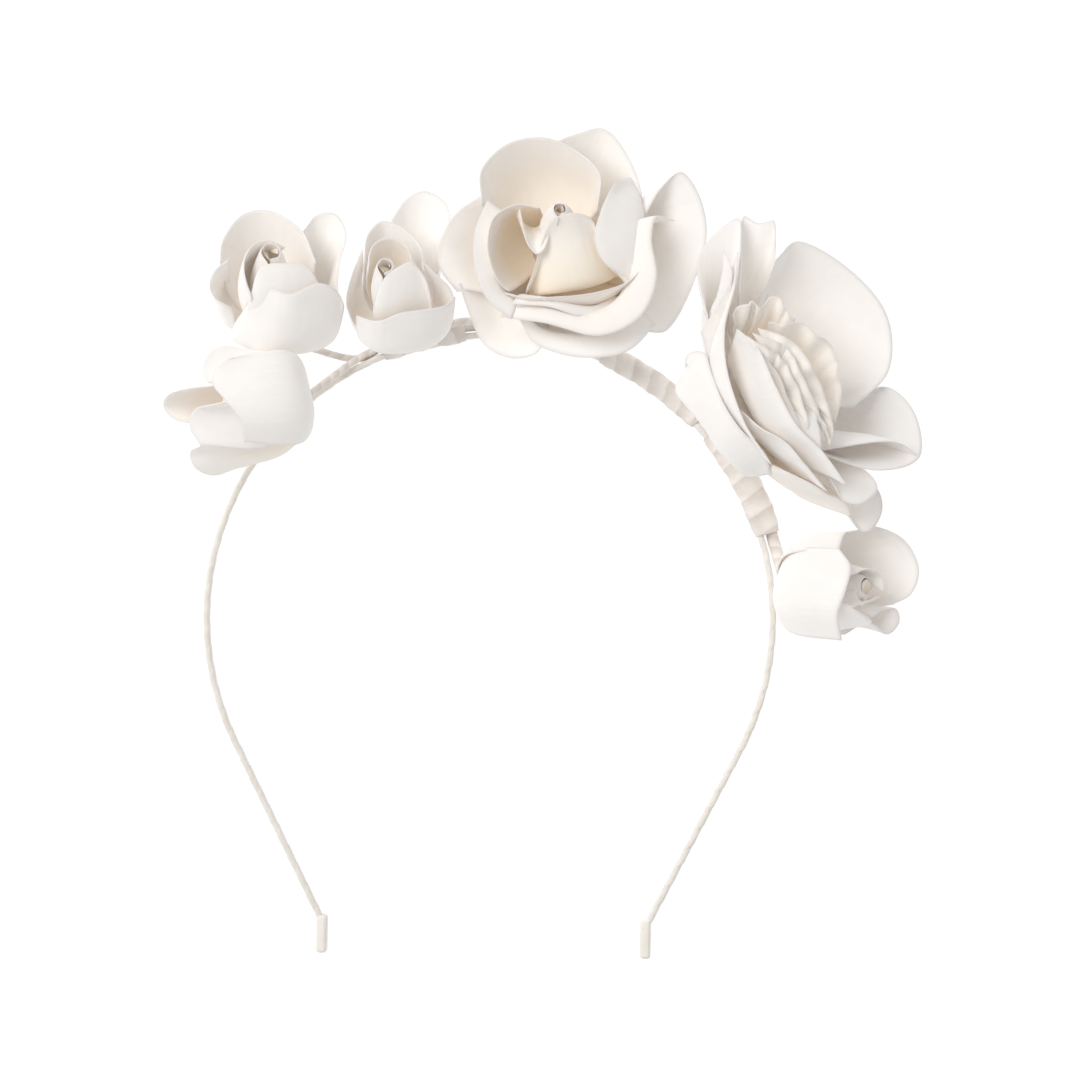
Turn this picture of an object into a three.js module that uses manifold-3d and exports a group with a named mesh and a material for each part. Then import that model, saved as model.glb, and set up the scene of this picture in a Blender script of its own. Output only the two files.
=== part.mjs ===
// A headband with a wrapped horseshoe band, taped wire stems and six cloth flowers.
// Millimetres and degrees. The band's arch has its centre at the origin, the crown is at +Y,
// and the headband lies on its back on the plane Z = 0 with its flowers up.
import * as THREE from "three";
import { mergeVertices } from "three/addons/utils/BufferGeometryUtils.js";
import Module from "manifold-3d";

const wasm = await Module();
wasm.setup();

// Band: a half circle that runs on past the horizontal, straight legs and upright tips
const ARCH_RADIUS = 68;
const LEG_TURN = 27;
const LEG_LENGTH = 45.5;
const TIP_BEND_RADIUS = 10;
const TIP_LENGTH = 4.6;
const BAND_WIDTH = 4;
const BAND_THICKNESS = 1.6;
const BAND_EDGE_RADIUS = 0.6;
const BAND_STEPS = 38;
const TIP_WIDTH = 5.5;
const TIP_THICKNESS = 2.5;
const TIP_SLEEVE_LENGTH = 9;
const TIP_CORNER = 0.7;
const TIP_OVERHANG = 0.4;
const BAND_HEIGHT = TIP_WIDTH / 2;

// Stems: taped wires that lie along the outside of the band and then leave it for their flower.
// A receptacle's depth is a share of its radius. Its underside swells from a collar to its edge.
const STEM_SIDES = 6;
const STEM_STEP = 6;
const STEM_COLLAR = 0.5;
const RECEPTACLE_DEPTH = 0.33;
const RECEPTACLE_SWELL_RADIUS = 0.8;
const RECEPTACLE_SWELL_DEPTH = 0.45;
const RECEPTACLE_EDGE_DEPTH = 0.14;
const RECEPTACLE_SIDES = 8;
const RECEPTACLE_SLOPE = 0.6;
const RECEPTACLE_TIP = 1.5;

// Tape: short sleeves round the band and the stems
const TAPE_GAP = 0.3;
const TAPE_THICKNESS = 0.45;
const TAPE_CORNER = 1.2;
const TAPE_HOLE_CORNER = 0.4;
const TAPE_STEP = 5;

// Petals: thin sheets that start just above the receptacle. A rolled one winds outward by WIND.
const PETAL_THICKNESS = 1;
const PETAL_GAP = 1.4;
const CLEARANCE = 0.36;
const WIND = 1.3;
const ROLLED_SPREAD = 150;
const RIM_STEP = 9;
const RIM_STEPS_MIN = 5;
const RIM_STEPS_MAX = 6;
const ROLL_STEPS = 8;
const STEPS_ALONG = 3;
const SMOOTHING = 0.2;

// Layout of the rims: a view from above, in steps across and down from its top left corner
const LAYOUT_STEP = 0.2411;
const LAYOUT_ORIGIN = [490, 618];
const VIEW_CENTRE = [11.69, 19.04];
const VIEW_HEIGHT = 868;
const VIEW_TURN = 1.117;

const deg = THREE.MathUtils.degToRad;
const UP = new THREE.Vector3(0, 0, 1);

const FLOWER_COLUMNS = ["name", "x", "y", "z", "lean", "toward", "receptacle"];
const FLOWERS = [
  ["rose_top", 15, 85.5, 7.6, 27, 92, 14.2],
  ["rose_right", 59.7, 53.2, 15.8, 50, 29.6, 11.6],
  ["bud_low_left", -46, 50.8, 17, 76, 190, 4.4],
  ["bud_upper_left", -53.1, 67.3, 7.8, 49, 90, 4.8],
  ["bud_upper_mid", -23, 68, 11.5, 50, 98, 4.4],
  ["bud_low_right", 71.4, 8.6, 10, 60, -8, 4.4],
];

// Each petal is a fan from its foot, on a circle of radius base round the flower's axis, to its rim.
// cup bows it outward and flare bends its rim back, as shares of its length.
// A foot of null is on the receptacle.
// The rim runs anticlockwise: steps across and down in the layout, then the height in millimetres.
const PETAL_COLUMNS = ["name", "az", "base", "foot", "spread", "cup", "flare", "rim"];
const PETALS = {
  rose_top: [
    ["core", 85, 3, null, 176, 0.12, 0, [
      [560, 214, 31], [566, 211, 30.6], [564, 204, 30], [556, 204, 30], [554, 210, 30.6],
      [559, 218, 31.6],
    ]],
    ["centre", -74, 8.5, null, 54, 0.36, 0.15, [
      [526, 292, 26.6], [536, 262, 28], [545, 234, 29.8], [553, 219, 31], [572, 213, 31.4],
      [590, 218, 29.6], [600, 240, 27.5], [608, 266, 26.4],
    ]],
    ["inner_left", 172, 6.4, null, 56, 0.1, 0, [
      [540, 208, 27.6], [517, 205, 28.6], [493, 217, 29.5], [486, 245, 30], [492, 270, 29.5],
      [501, 284, 28.8], [510, 291, 28],
    ]],
    ["inner_right", 4, 9.9, null, 46, 0.58, 0, [
      [629, 280, 27.4], [606, 266, 29.6], [595, 241, 30], [601, 212, 28.6], [616, 182, 24],
    ]],
    ["inner_front", -82, 9.8, null, 46, 0.24, 0.06, [
      [504, 293, 28.2], [524, 297, 29.7], [560, 296, 30.6], [600, 291, 30], [628, 282, 28.5],
      [645, 266, 27],
    ]],
    ["back", 97, 8, null, 48, 0.14, 0.03, [
      [598, 212, 25], [600, 173, 23], [575, 150, 21], [545, 137, 20.5], [508, 142, 21],
      [480, 170, 24], [482, 205, 27],
    ]],
    ["left", 183, 9.2, null, 48, 0.1, 0.16, [
      [487, 200, 26.5], [474, 235, 28.5], [475, 270, 29.5], [488, 300, 29.5], [512, 319, 28.5],
    ]],
    ["front", -60, 11, null, 70, 0.08, 0.18, [
      [500, 317, 27], [545, 323, 30], [600, 336, 31], [640, 318, 30.5], [657, 280, 28.5],
      [652, 238, 26], [657, 216, 24], [675, 219, 21],
    ]],
    ["back_right", 55, 10.2, null, 40, 0.15, 0.05, [
      [642, 228, 18], [642, 195, 16.5], [630, 160, 15], [604, 129, 14], [575, 134, 14.5],
      [553, 141, 16],
    ]],
    ["right_outer", 10, 12.6, null, 50, 0.12, 0.08, [
      [642, 331, 15], [666, 331, 13], [697, 275, 14], [707, 230, 15], [697, 190, 16],
      [680, 171, 17], [660, 188, 18], [645, 214, 19],
    ]],
    ["left_outer", 180, 11.6, null, 45, 0.12, 0.08, [
      [484, 192, 20], [455, 213, 19], [440, 243, 18.5], [440, 268, 18], [457, 292, 17],
    ]],
    ["front_outer", -82, 12.6, null, 50, 0.14, 0.16, [
      [520, 320, 25], [534, 342, 25], [560, 354, 24.5], [595, 358, 24.5], [630, 350, 24.5],
      [656, 324, 24],
    ]],
    ["front_left", -135, 13.8, null, 40, 0.2, 0.06, [
      [458, 284, 17], [470, 315, 17], [485, 346, 17], [510, 358, 17.5], [532, 354, 18],
      [543, 340, 19],
    ]],
  ],
  rose_right: [
    ["crumple_a", 30, 2.4, null, 70, 0.1, 0.06, [
      [836, 424, 30], [842, 392, 29], [836, 360, 29], [818, 334, 31], [792, 322, 33],
      [768, 322, 35],
    ]],
    ["crumple_b", 120, 4, null, 60, 0.12, 0.06, [
      [796, 318, 29], [778, 300, 30], [762, 306, 31], [750, 300, 32], [738, 318, 34],
    ]],
    ["inner_left", 222, 5.4, null, 66, 0.15, 0.04, [
      [738, 328, 38], [757, 347, 41], [775, 385, 43], [797, 425, 43], [825, 455, 41],
      [846, 487, 37],
    ]],
    ["inner_low", 245, 7, null, 50, 0.2, 0.05, [
      [741, 412, 34], [762, 430, 37], [785, 443, 38], [805, 462, 37], [829, 491, 33],
    ]],
    ["right_big", 40, 5.6, null, 56, 0.12, 0.03, [
      [853, 408, 19], [889, 370, 15], [887, 315, 14], [848, 268, 15], [797, 241, 19],
      [775, 258, 24],
    ]],
    ["top", 105, 7.2, null, 32, 0.1, 0.04, [
      [774, 262, 20], [775, 221, 17], [758, 223, 17], [744, 216, 17], [741, 245, 20],
    ]],
    ["top_left", 140, 8.8, null, 36, 0.1, 0.06, [
      [738, 290, 27], [740, 245, 23], [738, 218, 20], [716, 233, 20.5], [702, 250, 21.5],
      [698, 272, 23], [706, 315, 25],
    ]],
    ["left", 190, 8.6, null, 46, 0.2, 0.06, [
      [739, 252, 25], [736, 285, 31], [724, 330, 36], [725, 375, 38], [743, 425, 37.5],
      [773, 466, 33],
    ]],
    ["left_outer", 218, 10.4, null, 50, 0.74, 0.03, [
      [688, 386, 19], [687, 357, 23.5], [703, 352, 28], [712, 376, 31], [724, 404, 33],
      [742, 430, 34], [765, 452, 32], [771, 474, 27],
    ]],
    ["low", -72, 9, null, 42, 0.36, 0.05, [
      [773, 466, 29], [792, 474, 31], [812, 482, 31], [832, 494, 29], [846, 503, 25],
      [852, 518, 21],
    ]],
    ["low_tip", -50, 10.8, null, 30, 0.1, 0.06, [
      [846, 500, 20], [853, 516, 18], [868, 533, 16], [882, 512, 16], [879, 490, 18],
      [862, 480, 21],
    ]],
    ["low_right", -15, 7.2, null, 42, 0.12, 0.05, [
      [826, 455, 31], [878, 471, 28], [920, 457, 17], [914, 412, 13], [889, 388, 13.5],
      [845, 408, 17],
    ]],
  ],
  bud_low_left: [
    ["core", 25, 2.2, null, 176, 0.1, 0, [
      [226, 416, 19], [224, 421, 23], [222, 412, 27], [223, 398, 25], [226, 396, 20],
      [227, 406, 16], [225, 422, 17],
    ]],
    ["upper", 80, 3.2, null, 50, 0.22, 0.05, [
      [208, 384, 32], [203, 368, 30], [210, 352, 27], [228, 345, 24], [246, 352, 21],
    ]],
    ["finger", 180, 3.4, null, 35, 0.2, 0.05, [
      [214, 384, 29], [188, 386, 27], [168, 394, 22], [164, 408, 18], [175, 420, 17.5],
      [193, 424, 20],
    ]],
    ["side", 330, 3.4, null, 40, 0.18, 0.03, [
      [200, 446, 29], [190, 428, 29], [193, 412, 31], [222, 404, 36],
    ]],
    ["low", 284, 2.4, -2.7, 46, 0.15, 0.04, [
      [270, 455, 15], [242, 467, 14], [215, 477, 15], [195, 468, 18], [190, 452, 21],
      [200, 445, 25],
    ]],
    ["front", 18, 2.4, -2.7, 74, 0.26, 0.03, [
      [244, 442, 35], [240, 420, 38], [225, 400, 39], [212, 380, 38], [222, 362, 36],
      [250, 356, 33],
    ]],
  ],
  bud_upper_left: [
    ["core", 85, 2.4, null, 176, 0.1, 0, [
      [270, 259, 28.5], [279, 256, 27.5], [278, 246, 26.5], [268, 243, 26.8], [261, 251, 28],
      [268, 264, 29.3],
    ]],
    ["inner_left", 185, 3.5, null, 60, 0.13, 0, [
      [285, 247, 24], [268, 240, 25.6], [254, 244, 27.2], [246, 259, 28.3], [247, 280, 28.3],
      [252, 298, 27.5],
    ]],
    ["inner_front", 288, 3.9, null, 65, 0.22, 0, [
      [254, 294, 27], [261, 267, 29.5], [285, 263, 30], [308, 267, 28.5], [319, 285, 26],
    ]],
    ["back", 95, 4.4, null, 60, 0.15, 0.03, [
      [318, 262, 22], [303, 229, 18], [268, 210, 15.5], [242, 216, 16.5], [224, 240, 18.5],
      [221, 263, 21],
    ]],
    ["left", 178, 4.8, null, 36, 0.2, 0.06, [
      [228, 259, 21], [214, 270, 21], [210, 284, 20], [217, 297, 19.5], [232, 307, 18],
    ]],
    ["back_right", 40, 4.8, null, 45, 0.14, 0.05, [
      [339, 292, 21], [340, 262, 18], [344, 232, 14.5], [334, 214, 13], [316, 215, 13],
      [303, 230, 15],
    ]],
    ["front", 280, 2.4, -2.8, 80, 0.29, 0.03, [
      [247, 304, 25], [262, 287, 28.5], [290, 294, 30], [318, 283, 28], [336, 290, 25],
      [344, 306, 22],
    ]],
  ],
  bud_upper_mid: [
    ["core", 110, 2.2, null, 176, 0.12, 0, [
      [384, 273, 29], [391, 269, 28], [390, 261, 27.3], [382, 259, 27.5], [377, 266, 28.5],
      [382, 278, 29.8],
    ]],
    ["back", 100, 4, null, 60, 0.14, 0.03, [
      [422, 272, 23], [419, 245, 19.5], [402, 226, 17.5], [382, 220, 17.5], [369, 233, 19.5],
      [364, 264, 23],
    ]],
    ["left", 188, 4.4, null, 45, 0.22, 0.05, [
      [364, 250, 21], [352, 274, 21.5], [344, 298, 20.5], [350, 318, 20], [362, 330, 18],
    ]],
    ["right", -20, 4.4, null, 45, 0.22, 0.05, [
      [446, 327, 18], [454, 303, 20], [450, 288, 21.5], [437, 275, 22.5], [424, 262, 23],
    ]],
    ["back_tall", 70, 4.6, null, 40, 0.12, 0.04, [
      [440, 262, 17], [449, 222, 12.5], [443, 201, 10.5], [425, 191, 10], [406, 199, 11],
      [391, 220, 14],
    ]],
    ["front", 275, 2.4, -2.7, 78, 0.25, 0.03, [
      [356, 316, 24], [378, 321, 28], [400, 314, 29.5], [425, 310, 28.5], [442, 306, 26],
      [454, 296, 23],
    ]],
  ],
  bud_low_right: [
    ["core", 180, 2.4, null, 176, 0.12, 0, [
      [872, 590, 19.8], [872, 583, 20.4], [866, 577, 22.8], [861, 582, 25.2], [861, 590, 25.8],
      [866, 596, 23.4], [873, 595, 19.2],
    ]],
    ["back", 20, 4, null, 65, 0.16, 0.03, [
      [893, 604, 15], [911, 594, 12.5], [919, 570, 11], [905, 540, 11], [876, 525, 13],
      [850, 530, 16],
    ]],
    ["top", 100, 2.4, -2.7, 40, 0.26, 0.03, [
      [848, 531, 15], [846, 535, 18], [842, 541, 21], [838, 549, 25],
    ]],
    ["low", 245, 3.4, null, 45, 0.2, 0.04, [
      [842, 604, 31], [856, 609, 30], [872, 620, 25], [858, 627, 21], [843, 634, 20],
    ]],
    ["small", -45, 3.8, null, 25, 0.1, 0.05, [
      [874, 624, 19], [889, 632, 16], [899, 622, 15], [896, 609, 15.5], [884, 608, 17],
      [872, 617, 20],
    ]],
    ["front", 172, 2.4, -2.7, 64, 0.2, 0.03, [
      [838, 548, 27], [850, 566, 31], [846, 590, 33], [838, 612, 32], [842, 640, 27],
    ]],
  ],
};

const STEM_COLUMNS = ["flower", "radius", "from", "to", "ring", "level", "below"];
const STEMS = [
  ["rose_top", 0.9, 48, 75, 70.0, 1.1, 2.5],
  ["rose_right", 0.9, 70, 43, 70.0, -1.1, 2.5],
  ["bud_low_left", 0.9, 90, 117, 70.0, 1.1, 0],
  ["bud_upper_left", 0.9, 90, 118, 70.0, -1.1, 0],
  ["bud_upper_mid", 0.9, 84, 97, 71.4, 3.95, 1.5],
  ["bud_low_right", 1.5, 40, 16, 70.7, 0, 0],
];

const TAPE_COLUMNS = ["name", "from", "to", "reach"];
const TAPES = [
  ["tape_left", 113, 96, 3.2],
  ["tape_right_upper", 68, 44.5, 3.2],
  ["tape_right_lower", 41, 18, 4.5],
];

const IVORY = { color: 0xf4efe6, roughness: 0.9, metalness: 0 };
const CREAM = { color: 0xefe6d6, roughness: 0.75, metalness: 0 };
const TAPED = { color: 0xc8beb2, roughness: 0.85, metalness: 0 };

// A table row as an object with the table's column names
function named(columns, row) {
  return Object.fromEntries(columns.map((column, i) => [column, row[i]]));
}

// A closed geometry with shared vertices and positions only
function closed(geometry) {
  geometry.deleteAttribute("normal");
  geometry.deleteAttribute("uv");
  return mergeVertices(geometry, 1e-4);
}

function toSolid(geometry) {
  const merged = closed(geometry);
  return new wasm.Manifold(
    new wasm.Mesh({
      numProp: 3,
      vertProperties: new Float32Array(merged.attributes.position.array),
      triVerts: new Uint32Array(merged.index.array),
    }),
  );
}

function toGeometry(solid) {
  const mesh = solid.getMesh();
  const geometry = new THREE.BufferGeometry();
  geometry.setAttribute("position", new THREE.BufferAttribute(mesh.vertProperties, 3));
  geometry.setIndex(new THREE.BufferAttribute(mesh.triVerts, 1));
  return geometry;
}

function joined(geometries) {
  const solids = geometries.map(toSolid);
  return toGeometry(solids.slice(1).reduce((whole, next) => whole.add(next), solids[0]));
}

function piece(name, geometry, look) {
  geometry.computeVertexNormals();
  const mesh = new THREE.Mesh(geometry, new THREE.MeshStandardMaterial({ ...look, side: THREE.DoubleSide }));
  mesh.name = name;
  return mesh;
}

// The band's centreline from the left tip over the crown to the right tip
class BandLine extends THREE.Curve {
  constructor() {
    super();
    this.arc = deg(90 + LEG_TURN) * ARCH_RADIUS;
    this.bend = deg(LEG_TURN) * TIP_BEND_RADIUS;
    this.half = this.arc + LEG_LENGTH + this.bend + TIP_LENGTH;
  }

  // A point of the right half, by its distance from the crown
  halfPoint(distance) {
    const turn = deg(LEG_TURN);
    if (distance <= this.arc) {
      const angle = Math.PI / 2 - distance / ARCH_RADIUS;
      return new THREE.Vector2(Math.cos(angle), Math.sin(angle)).multiplyScalar(ARCH_RADIUS);
    }
    const start = new THREE.Vector2(Math.cos(turn), -Math.sin(turn)).multiplyScalar(ARCH_RADIUS);
    const down = new THREE.Vector2(-Math.sin(turn), -Math.cos(turn));
    const along_leg = Math.min(distance - this.arc, LEG_LENGTH);
    const point = start.addScaledVector(down, along_leg);
    const along_bend = THREE.MathUtils.clamp(distance - this.arc - LEG_LENGTH, 0, this.bend);
    const rest = turn - along_bend / TIP_BEND_RADIUS;
    point.x -= TIP_BEND_RADIUS * (Math.cos(rest) - Math.cos(turn));
    point.y -= TIP_BEND_RADIUS * (Math.sin(turn) - Math.sin(rest));
    point.y -= Math.max(0, distance - this.arc - LEG_LENGTH - this.bend);
    return point;
  }

  getPoint(t, target = new THREE.Vector3()) {
    const distance = (2 * t - 1) * this.half;
    const point = this.halfPoint(Math.abs(distance));
    return target.set(Math.sign(distance) * point.x, point.y, BAND_HEIGHT);
  }
}

// A stretch of a circle round the arch's centre
class RingLine extends THREE.Curve {
  constructor(radius, from, to, height) {
    super();
    Object.assign(this, { radius, from, to, height });
  }

  getPoint(t, target = new THREE.Vector3()) {
    const angle = deg(THREE.MathUtils.lerp(this.from, this.to, t));
    return target.set(Math.cos(angle) * this.radius, Math.sin(angle) * this.radius, this.height);
  }
}

// A rectangle with rounded corners, from its lower left to its upper right corner
function rounded(path, x0, y0, x1, y1, radius) {
  path.moveTo(x0 + radius, y0);
  path.lineTo(x1 - radius, y0);
  path.absarc(x1 - radius, y0 + radius, radius, -Math.PI / 2, 0);
  path.lineTo(x1, y1 - radius);
  path.absarc(x1 - radius, y1 - radius, radius, 0, Math.PI / 2);
  path.lineTo(x0 + radius, y1);
  path.absarc(x0 + radius, y1 - radius, radius, Math.PI / 2, Math.PI);
  path.lineTo(x0, y0 + radius);
  path.absarc(x0 + radius, y0 + radius, radius, Math.PI, 1.5 * Math.PI);
  return path;
}

function disc(radius, sides) {
  const points = [];
  for (let i = 0; i < sides; i++) {
    const angle = (2 * Math.PI * (i + 0.5)) / sides;
    points.push(new THREE.Vector2(Math.cos(angle) * radius, Math.sin(angle) * radius));
  }
  return new THREE.Shape(points);
}

function band() {
  const half_width = BAND_WIDTH / 2;
  const half_thickness = BAND_THICKNESS / 2;
  const section = rounded(
    new THREE.Shape(), -half_width, -half_thickness, half_width, half_thickness, BAND_EDGE_RADIUS,
  );
  const line = new BandLine();
  const sweep = { extrudePath: line, steps: BAND_STEPS, curveSegments: 1 };
  const strip = new THREE.ExtrudeGeometry(section, sweep);
  const sleeves = [0, 1].map((end) => {
    const tip = line.getPoint(end);
    const sleeve = new THREE.ExtrudeGeometry(
      rounded(
        new THREE.Shape(), -TIP_THICKNESS / 2, -TIP_WIDTH / 2, TIP_THICKNESS / 2, TIP_WIDTH / 2, TIP_CORNER,
      ),
      { depth: TIP_SLEEVE_LENGTH, bevelEnabled: false, curveSegments: 2 },
    );
    sleeve.rotateX(-Math.PI / 2);
    sleeve.translate(tip.x, tip.y - TIP_OVERHANG, tip.z);
    return sleeve;
  });
  return piece("band", joined([strip, ...sleeves]), CREAM);
}

function tape(row) {
  const half = BAND_WIDTH / 2 + TAPE_GAP;
  const inner = BAND_THICKNESS / 2 + TAPE_GAP;
  const outer = row.reach;
  const wall = TAPE_THICKNESS;
  const section = rounded(
    new THREE.Shape(), -half - wall, -inner - wall, half + wall, outer + wall, TAPE_CORNER + wall,
  );
  section.holes.push(rounded(new THREE.Path(), -half, -inner, half, outer, TAPE_HOLE_CORNER));
  const line = new RingLine(ARCH_RADIUS, row.from, row.to, BAND_HEIGHT);
  const steps = Math.max(3, Math.round(Math.abs(row.from - row.to) / TAPE_STEP));
  const sleeve = new THREE.ExtrudeGeometry(section, { extrudePath: line, steps, curveSegments: 1 });
  return piece(row.name, closed(sleeve), TAPED);
}

// The stem of a flower: a wire along the band, then a curve up to the receptacle under the petals.
// grown is the width of a margin on all sides.
function stemSolid(row, flower, grown) {
  const axis = flowerAxis(flower);
  const top = new THREE.Vector3(flower.x, flower.y, flower.z);
  const depth = RECEPTACLE_DEPTH * flower.receptacle;
  const height = (flower.receptacle - RECEPTACLE_TIP) * RECEPTACLE_SLOPE;
  const ring = new RingLine(row.ring, row.from, row.to, BAND_HEIGHT + row.level);
  const points = ring.getPoints(6);
  if (row.below > 0) {
    points.push(top.clone().addScaledVector(axis, -depth - row.below));
  }
  points.push(top.clone().addScaledVector(axis, -depth / 2));
  const line = new THREE.CatmullRomCurve3(points, false, "centripetal");
  const steps = Math.max(6, Math.round(line.getLength() / STEM_STEP));
  const wire = new THREE.ExtrudeGeometry(disc(row.radius + grown, STEM_SIDES), { extrudePath: line, steps });
  const profile = [
    [0, -depth - grown],
    [row.radius + STEM_COLLAR + grown, -depth - grown],
    [flower.receptacle * RECEPTACLE_SWELL_RADIUS + grown, -depth * RECEPTACLE_SWELL_DEPTH - grown],
    [flower.receptacle + grown, -depth * RECEPTACLE_EDGE_DEPTH],
    [flower.receptacle + grown, grown],
    [RECEPTACLE_TIP + grown, height + grown],
    [0, height + grown],
  ].map(([radius, level]) => new THREE.Vector2(radius, level));
  const receptacle = new THREE.LatheGeometry(profile, RECEPTACLE_SIDES);
  receptacle.rotateX(Math.PI / 2);
  receptacle.applyQuaternion(new THREE.Quaternion().setFromUnitVectors(UP, axis));
  receptacle.translate(top.x, top.y, top.z);
  return toSolid(wire).add(toSolid(receptacle));
}

function flowerAxis(flower) {
  return new THREE.Vector3(
    Math.sin(deg(flower.lean)) * Math.cos(deg(flower.toward)),
    Math.sin(deg(flower.lean)) * Math.sin(deg(flower.toward)),
    Math.cos(deg(flower.lean)),
  );
}

// A point of the layout in the object's frame
function laidOut([across, down, height]) {
  const flat = new THREE.Vector2(across - LAYOUT_ORIGIN[0], LAYOUT_ORIGIN[1] - down);
  flat.multiplyScalar(LAYOUT_STEP).rotateAround(new THREE.Vector2(), deg(VIEW_TURN));
  const centre = new THREE.Vector2(...VIEW_CENTRE);
  flat.sub(centre).multiplyScalar(1 - height / VIEW_HEIGHT).add(centre);
  return new THREE.Vector3(flat.x, flat.y, height);
}

// A petal's middle surface. across runs from 0 to 1 along the rim, along from 0 at the foot to 1 at the rim.
class Petal {
  constructor(row, flower) {
    Object.assign(this, row);
    this.axis = flowerAxis(flower);
    this.tilt = new THREE.Quaternion().setFromUnitVectors(UP, this.axis);
    const on_receptacle = PETAL_GAP + (flower.receptacle - this.base) * RECEPTACLE_SLOPE;
    this.centre = new THREE.Vector3(flower.x, flower.y, flower.z);
    this.centre.addScaledVector(this.axis, this.foot ?? on_receptacle);
    this.rim_line = new THREE.CatmullRomCurve3(this.rim.map(laidOut), false, "centripetal");
    this.rolled = this.spread > ROLLED_SPREAD;
    const steps = Math.round(this.rim_line.getLength() / RIM_STEP);
    const clamped = THREE.MathUtils.clamp(steps, RIM_STEPS_MIN, RIM_STEPS_MAX);
    this.steps_across = this.rolled ? ROLL_STEPS : clamped;
  }

  point(across, along) {
    const turn = deg(this.az + this.spread * (2 * across - 1));
    const outward = new THREE.Vector3(Math.cos(turn), Math.sin(turn), 0).applyQuaternion(this.tilt);
    const radius = this.base + (this.rolled ? WIND * (across - 0.5) : 0);
    const foot = this.centre.clone().addScaledVector(outward, radius);
    const ray = this.rim_line.getPoint(across).sub(foot);
    const up = ray.dot(this.axis);
    const out = ray.dot(outward);
    const back = outward.clone().multiplyScalar(up).addScaledVector(this.axis, -out);
    back.divideScalar(Math.hypot(up, out));
    const bow = this.cup * Math.sin(Math.PI * along) + this.flare * Math.sin(2 * Math.PI * along);
    return foot.addScaledVector(ray, along).addScaledVector(back, bow * ray.length());
  }

  // Unit vectors across, along and out of the sheet
  directions(across, along) {
    const step = 0.02;
    const a = [Math.max(0, across - step), Math.min(1, across + step)].map((u) => this.point(u, along));
    const b = [Math.max(0, along - step), Math.min(1, along + step)].map((v) => this.point(across, v));
    const side = a[1].sub(a[0]).normalize();
    const forward = b[1].sub(b[0]).normalize();
    return { side, forward, normal: side.clone().cross(forward).normalize() };
  }

  // The petal as a thin box with its vertices moved onto the petal's two faces. grown is a margin on all sides.
  solid(grown) {
    const sheet = closed(new THREE.BoxGeometry(1, 1, 1, this.steps_across, STEPS_ALONG, 1));
    const position = sheet.getAttribute("position");
    for (let i = 0; i < position.count; i++) {
      const across = position.getX(i) + 0.5;
      const along = position.getY(i) + 0.5;
      const { side, forward, normal } = this.directions(across, along);
      const point = this.point(across, along);
      point.addScaledVector(normal, position.getZ(i) * (PETAL_THICKNESS + 2 * grown));
      point.addScaledVector(side, grown * endSign(across));
      point.addScaledVector(forward, grown * endSign(along));
      position.setXYZ(i, point.x, point.y, point.z);
    }
    return toSolid(sheet);
  }
}

// -1 at the start, 1 at the end and 0 between
function endSign(share) {
  if (share < 1e-6) {
    return -1;
  }
  return share > 1 - 1e-6 ? 1 : 0;
}

function boxesMeet(one, other) {
  return [0, 1, 2].every((k) => one.min[k] < other.max[k] && other.min[k] < one.max[k]);
}

// A petal gives way to the pieces placed before it. Its largest part is kept.
function cutClear(solid, others) {
  const box = solid.boundingBox();
  const near = others.filter((other) => boxesMeet(box, other.boundingBox()));
  const rest = near.reduce((whole, other) => whole.subtract(other), solid);
  const parts = rest.simplify(SMOOTHING).decompose();
  return parts.reduce((best, part) => (part.volume() > best.volume() ? part : best));
}

const group = new THREE.Group();
group.add(band());
TAPES.forEach((row) => group.add(tape(named(TAPE_COLUMNS, row))));
const flowers = FLOWERS.map((row) => named(FLOWER_COLUMNS, row));
const in_the_way = [];
for (const row of STEMS) {
  const wire = named(STEM_COLUMNS, row);
  const flower = flowers.find((candidate) => candidate.name === wire.flower);
  group.add(piece(`stem_${flower.name}`, toGeometry(stemSolid(wire, flower, 0)), TAPED));
  in_the_way.push(stemSolid(wire, flower, CLEARANCE));
}
for (const flower of flowers) {
  for (const row of PETALS[flower.name]) {
    const petal = new Petal(named(PETAL_COLUMNS, row), flower);
    const solid = cutClear(petal.solid(0), in_the_way);
    group.add(piece(`${flower.name}_${petal.name}`, toGeometry(solid), IVORY));
    in_the_way.push(petal.solid(CLEARANCE / 2), petal.solid(CLEARANCE));
  }
}

export default group;
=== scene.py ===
"""A flower headband: moulded cloth petals, taped wire stems and a ribbon-wrapped band, on a white floor.

The tables below are in millimetres and degrees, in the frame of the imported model. Meshes are in metres.
"""
import math
import random

import bpy
import numpy as np
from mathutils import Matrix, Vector


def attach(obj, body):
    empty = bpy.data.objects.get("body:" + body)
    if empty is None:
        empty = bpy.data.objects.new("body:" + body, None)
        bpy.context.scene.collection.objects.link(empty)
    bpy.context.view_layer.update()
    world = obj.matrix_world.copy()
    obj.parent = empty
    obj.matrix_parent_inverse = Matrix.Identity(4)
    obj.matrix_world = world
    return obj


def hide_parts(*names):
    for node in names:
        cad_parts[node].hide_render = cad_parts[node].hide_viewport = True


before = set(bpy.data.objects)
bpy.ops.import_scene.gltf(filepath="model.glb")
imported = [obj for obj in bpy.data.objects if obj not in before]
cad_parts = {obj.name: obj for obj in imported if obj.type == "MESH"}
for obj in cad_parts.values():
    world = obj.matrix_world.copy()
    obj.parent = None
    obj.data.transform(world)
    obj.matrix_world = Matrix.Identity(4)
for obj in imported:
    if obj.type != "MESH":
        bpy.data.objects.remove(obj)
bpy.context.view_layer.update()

MM = 0.001
TINY = 1e-9
BODY = "root"

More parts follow.
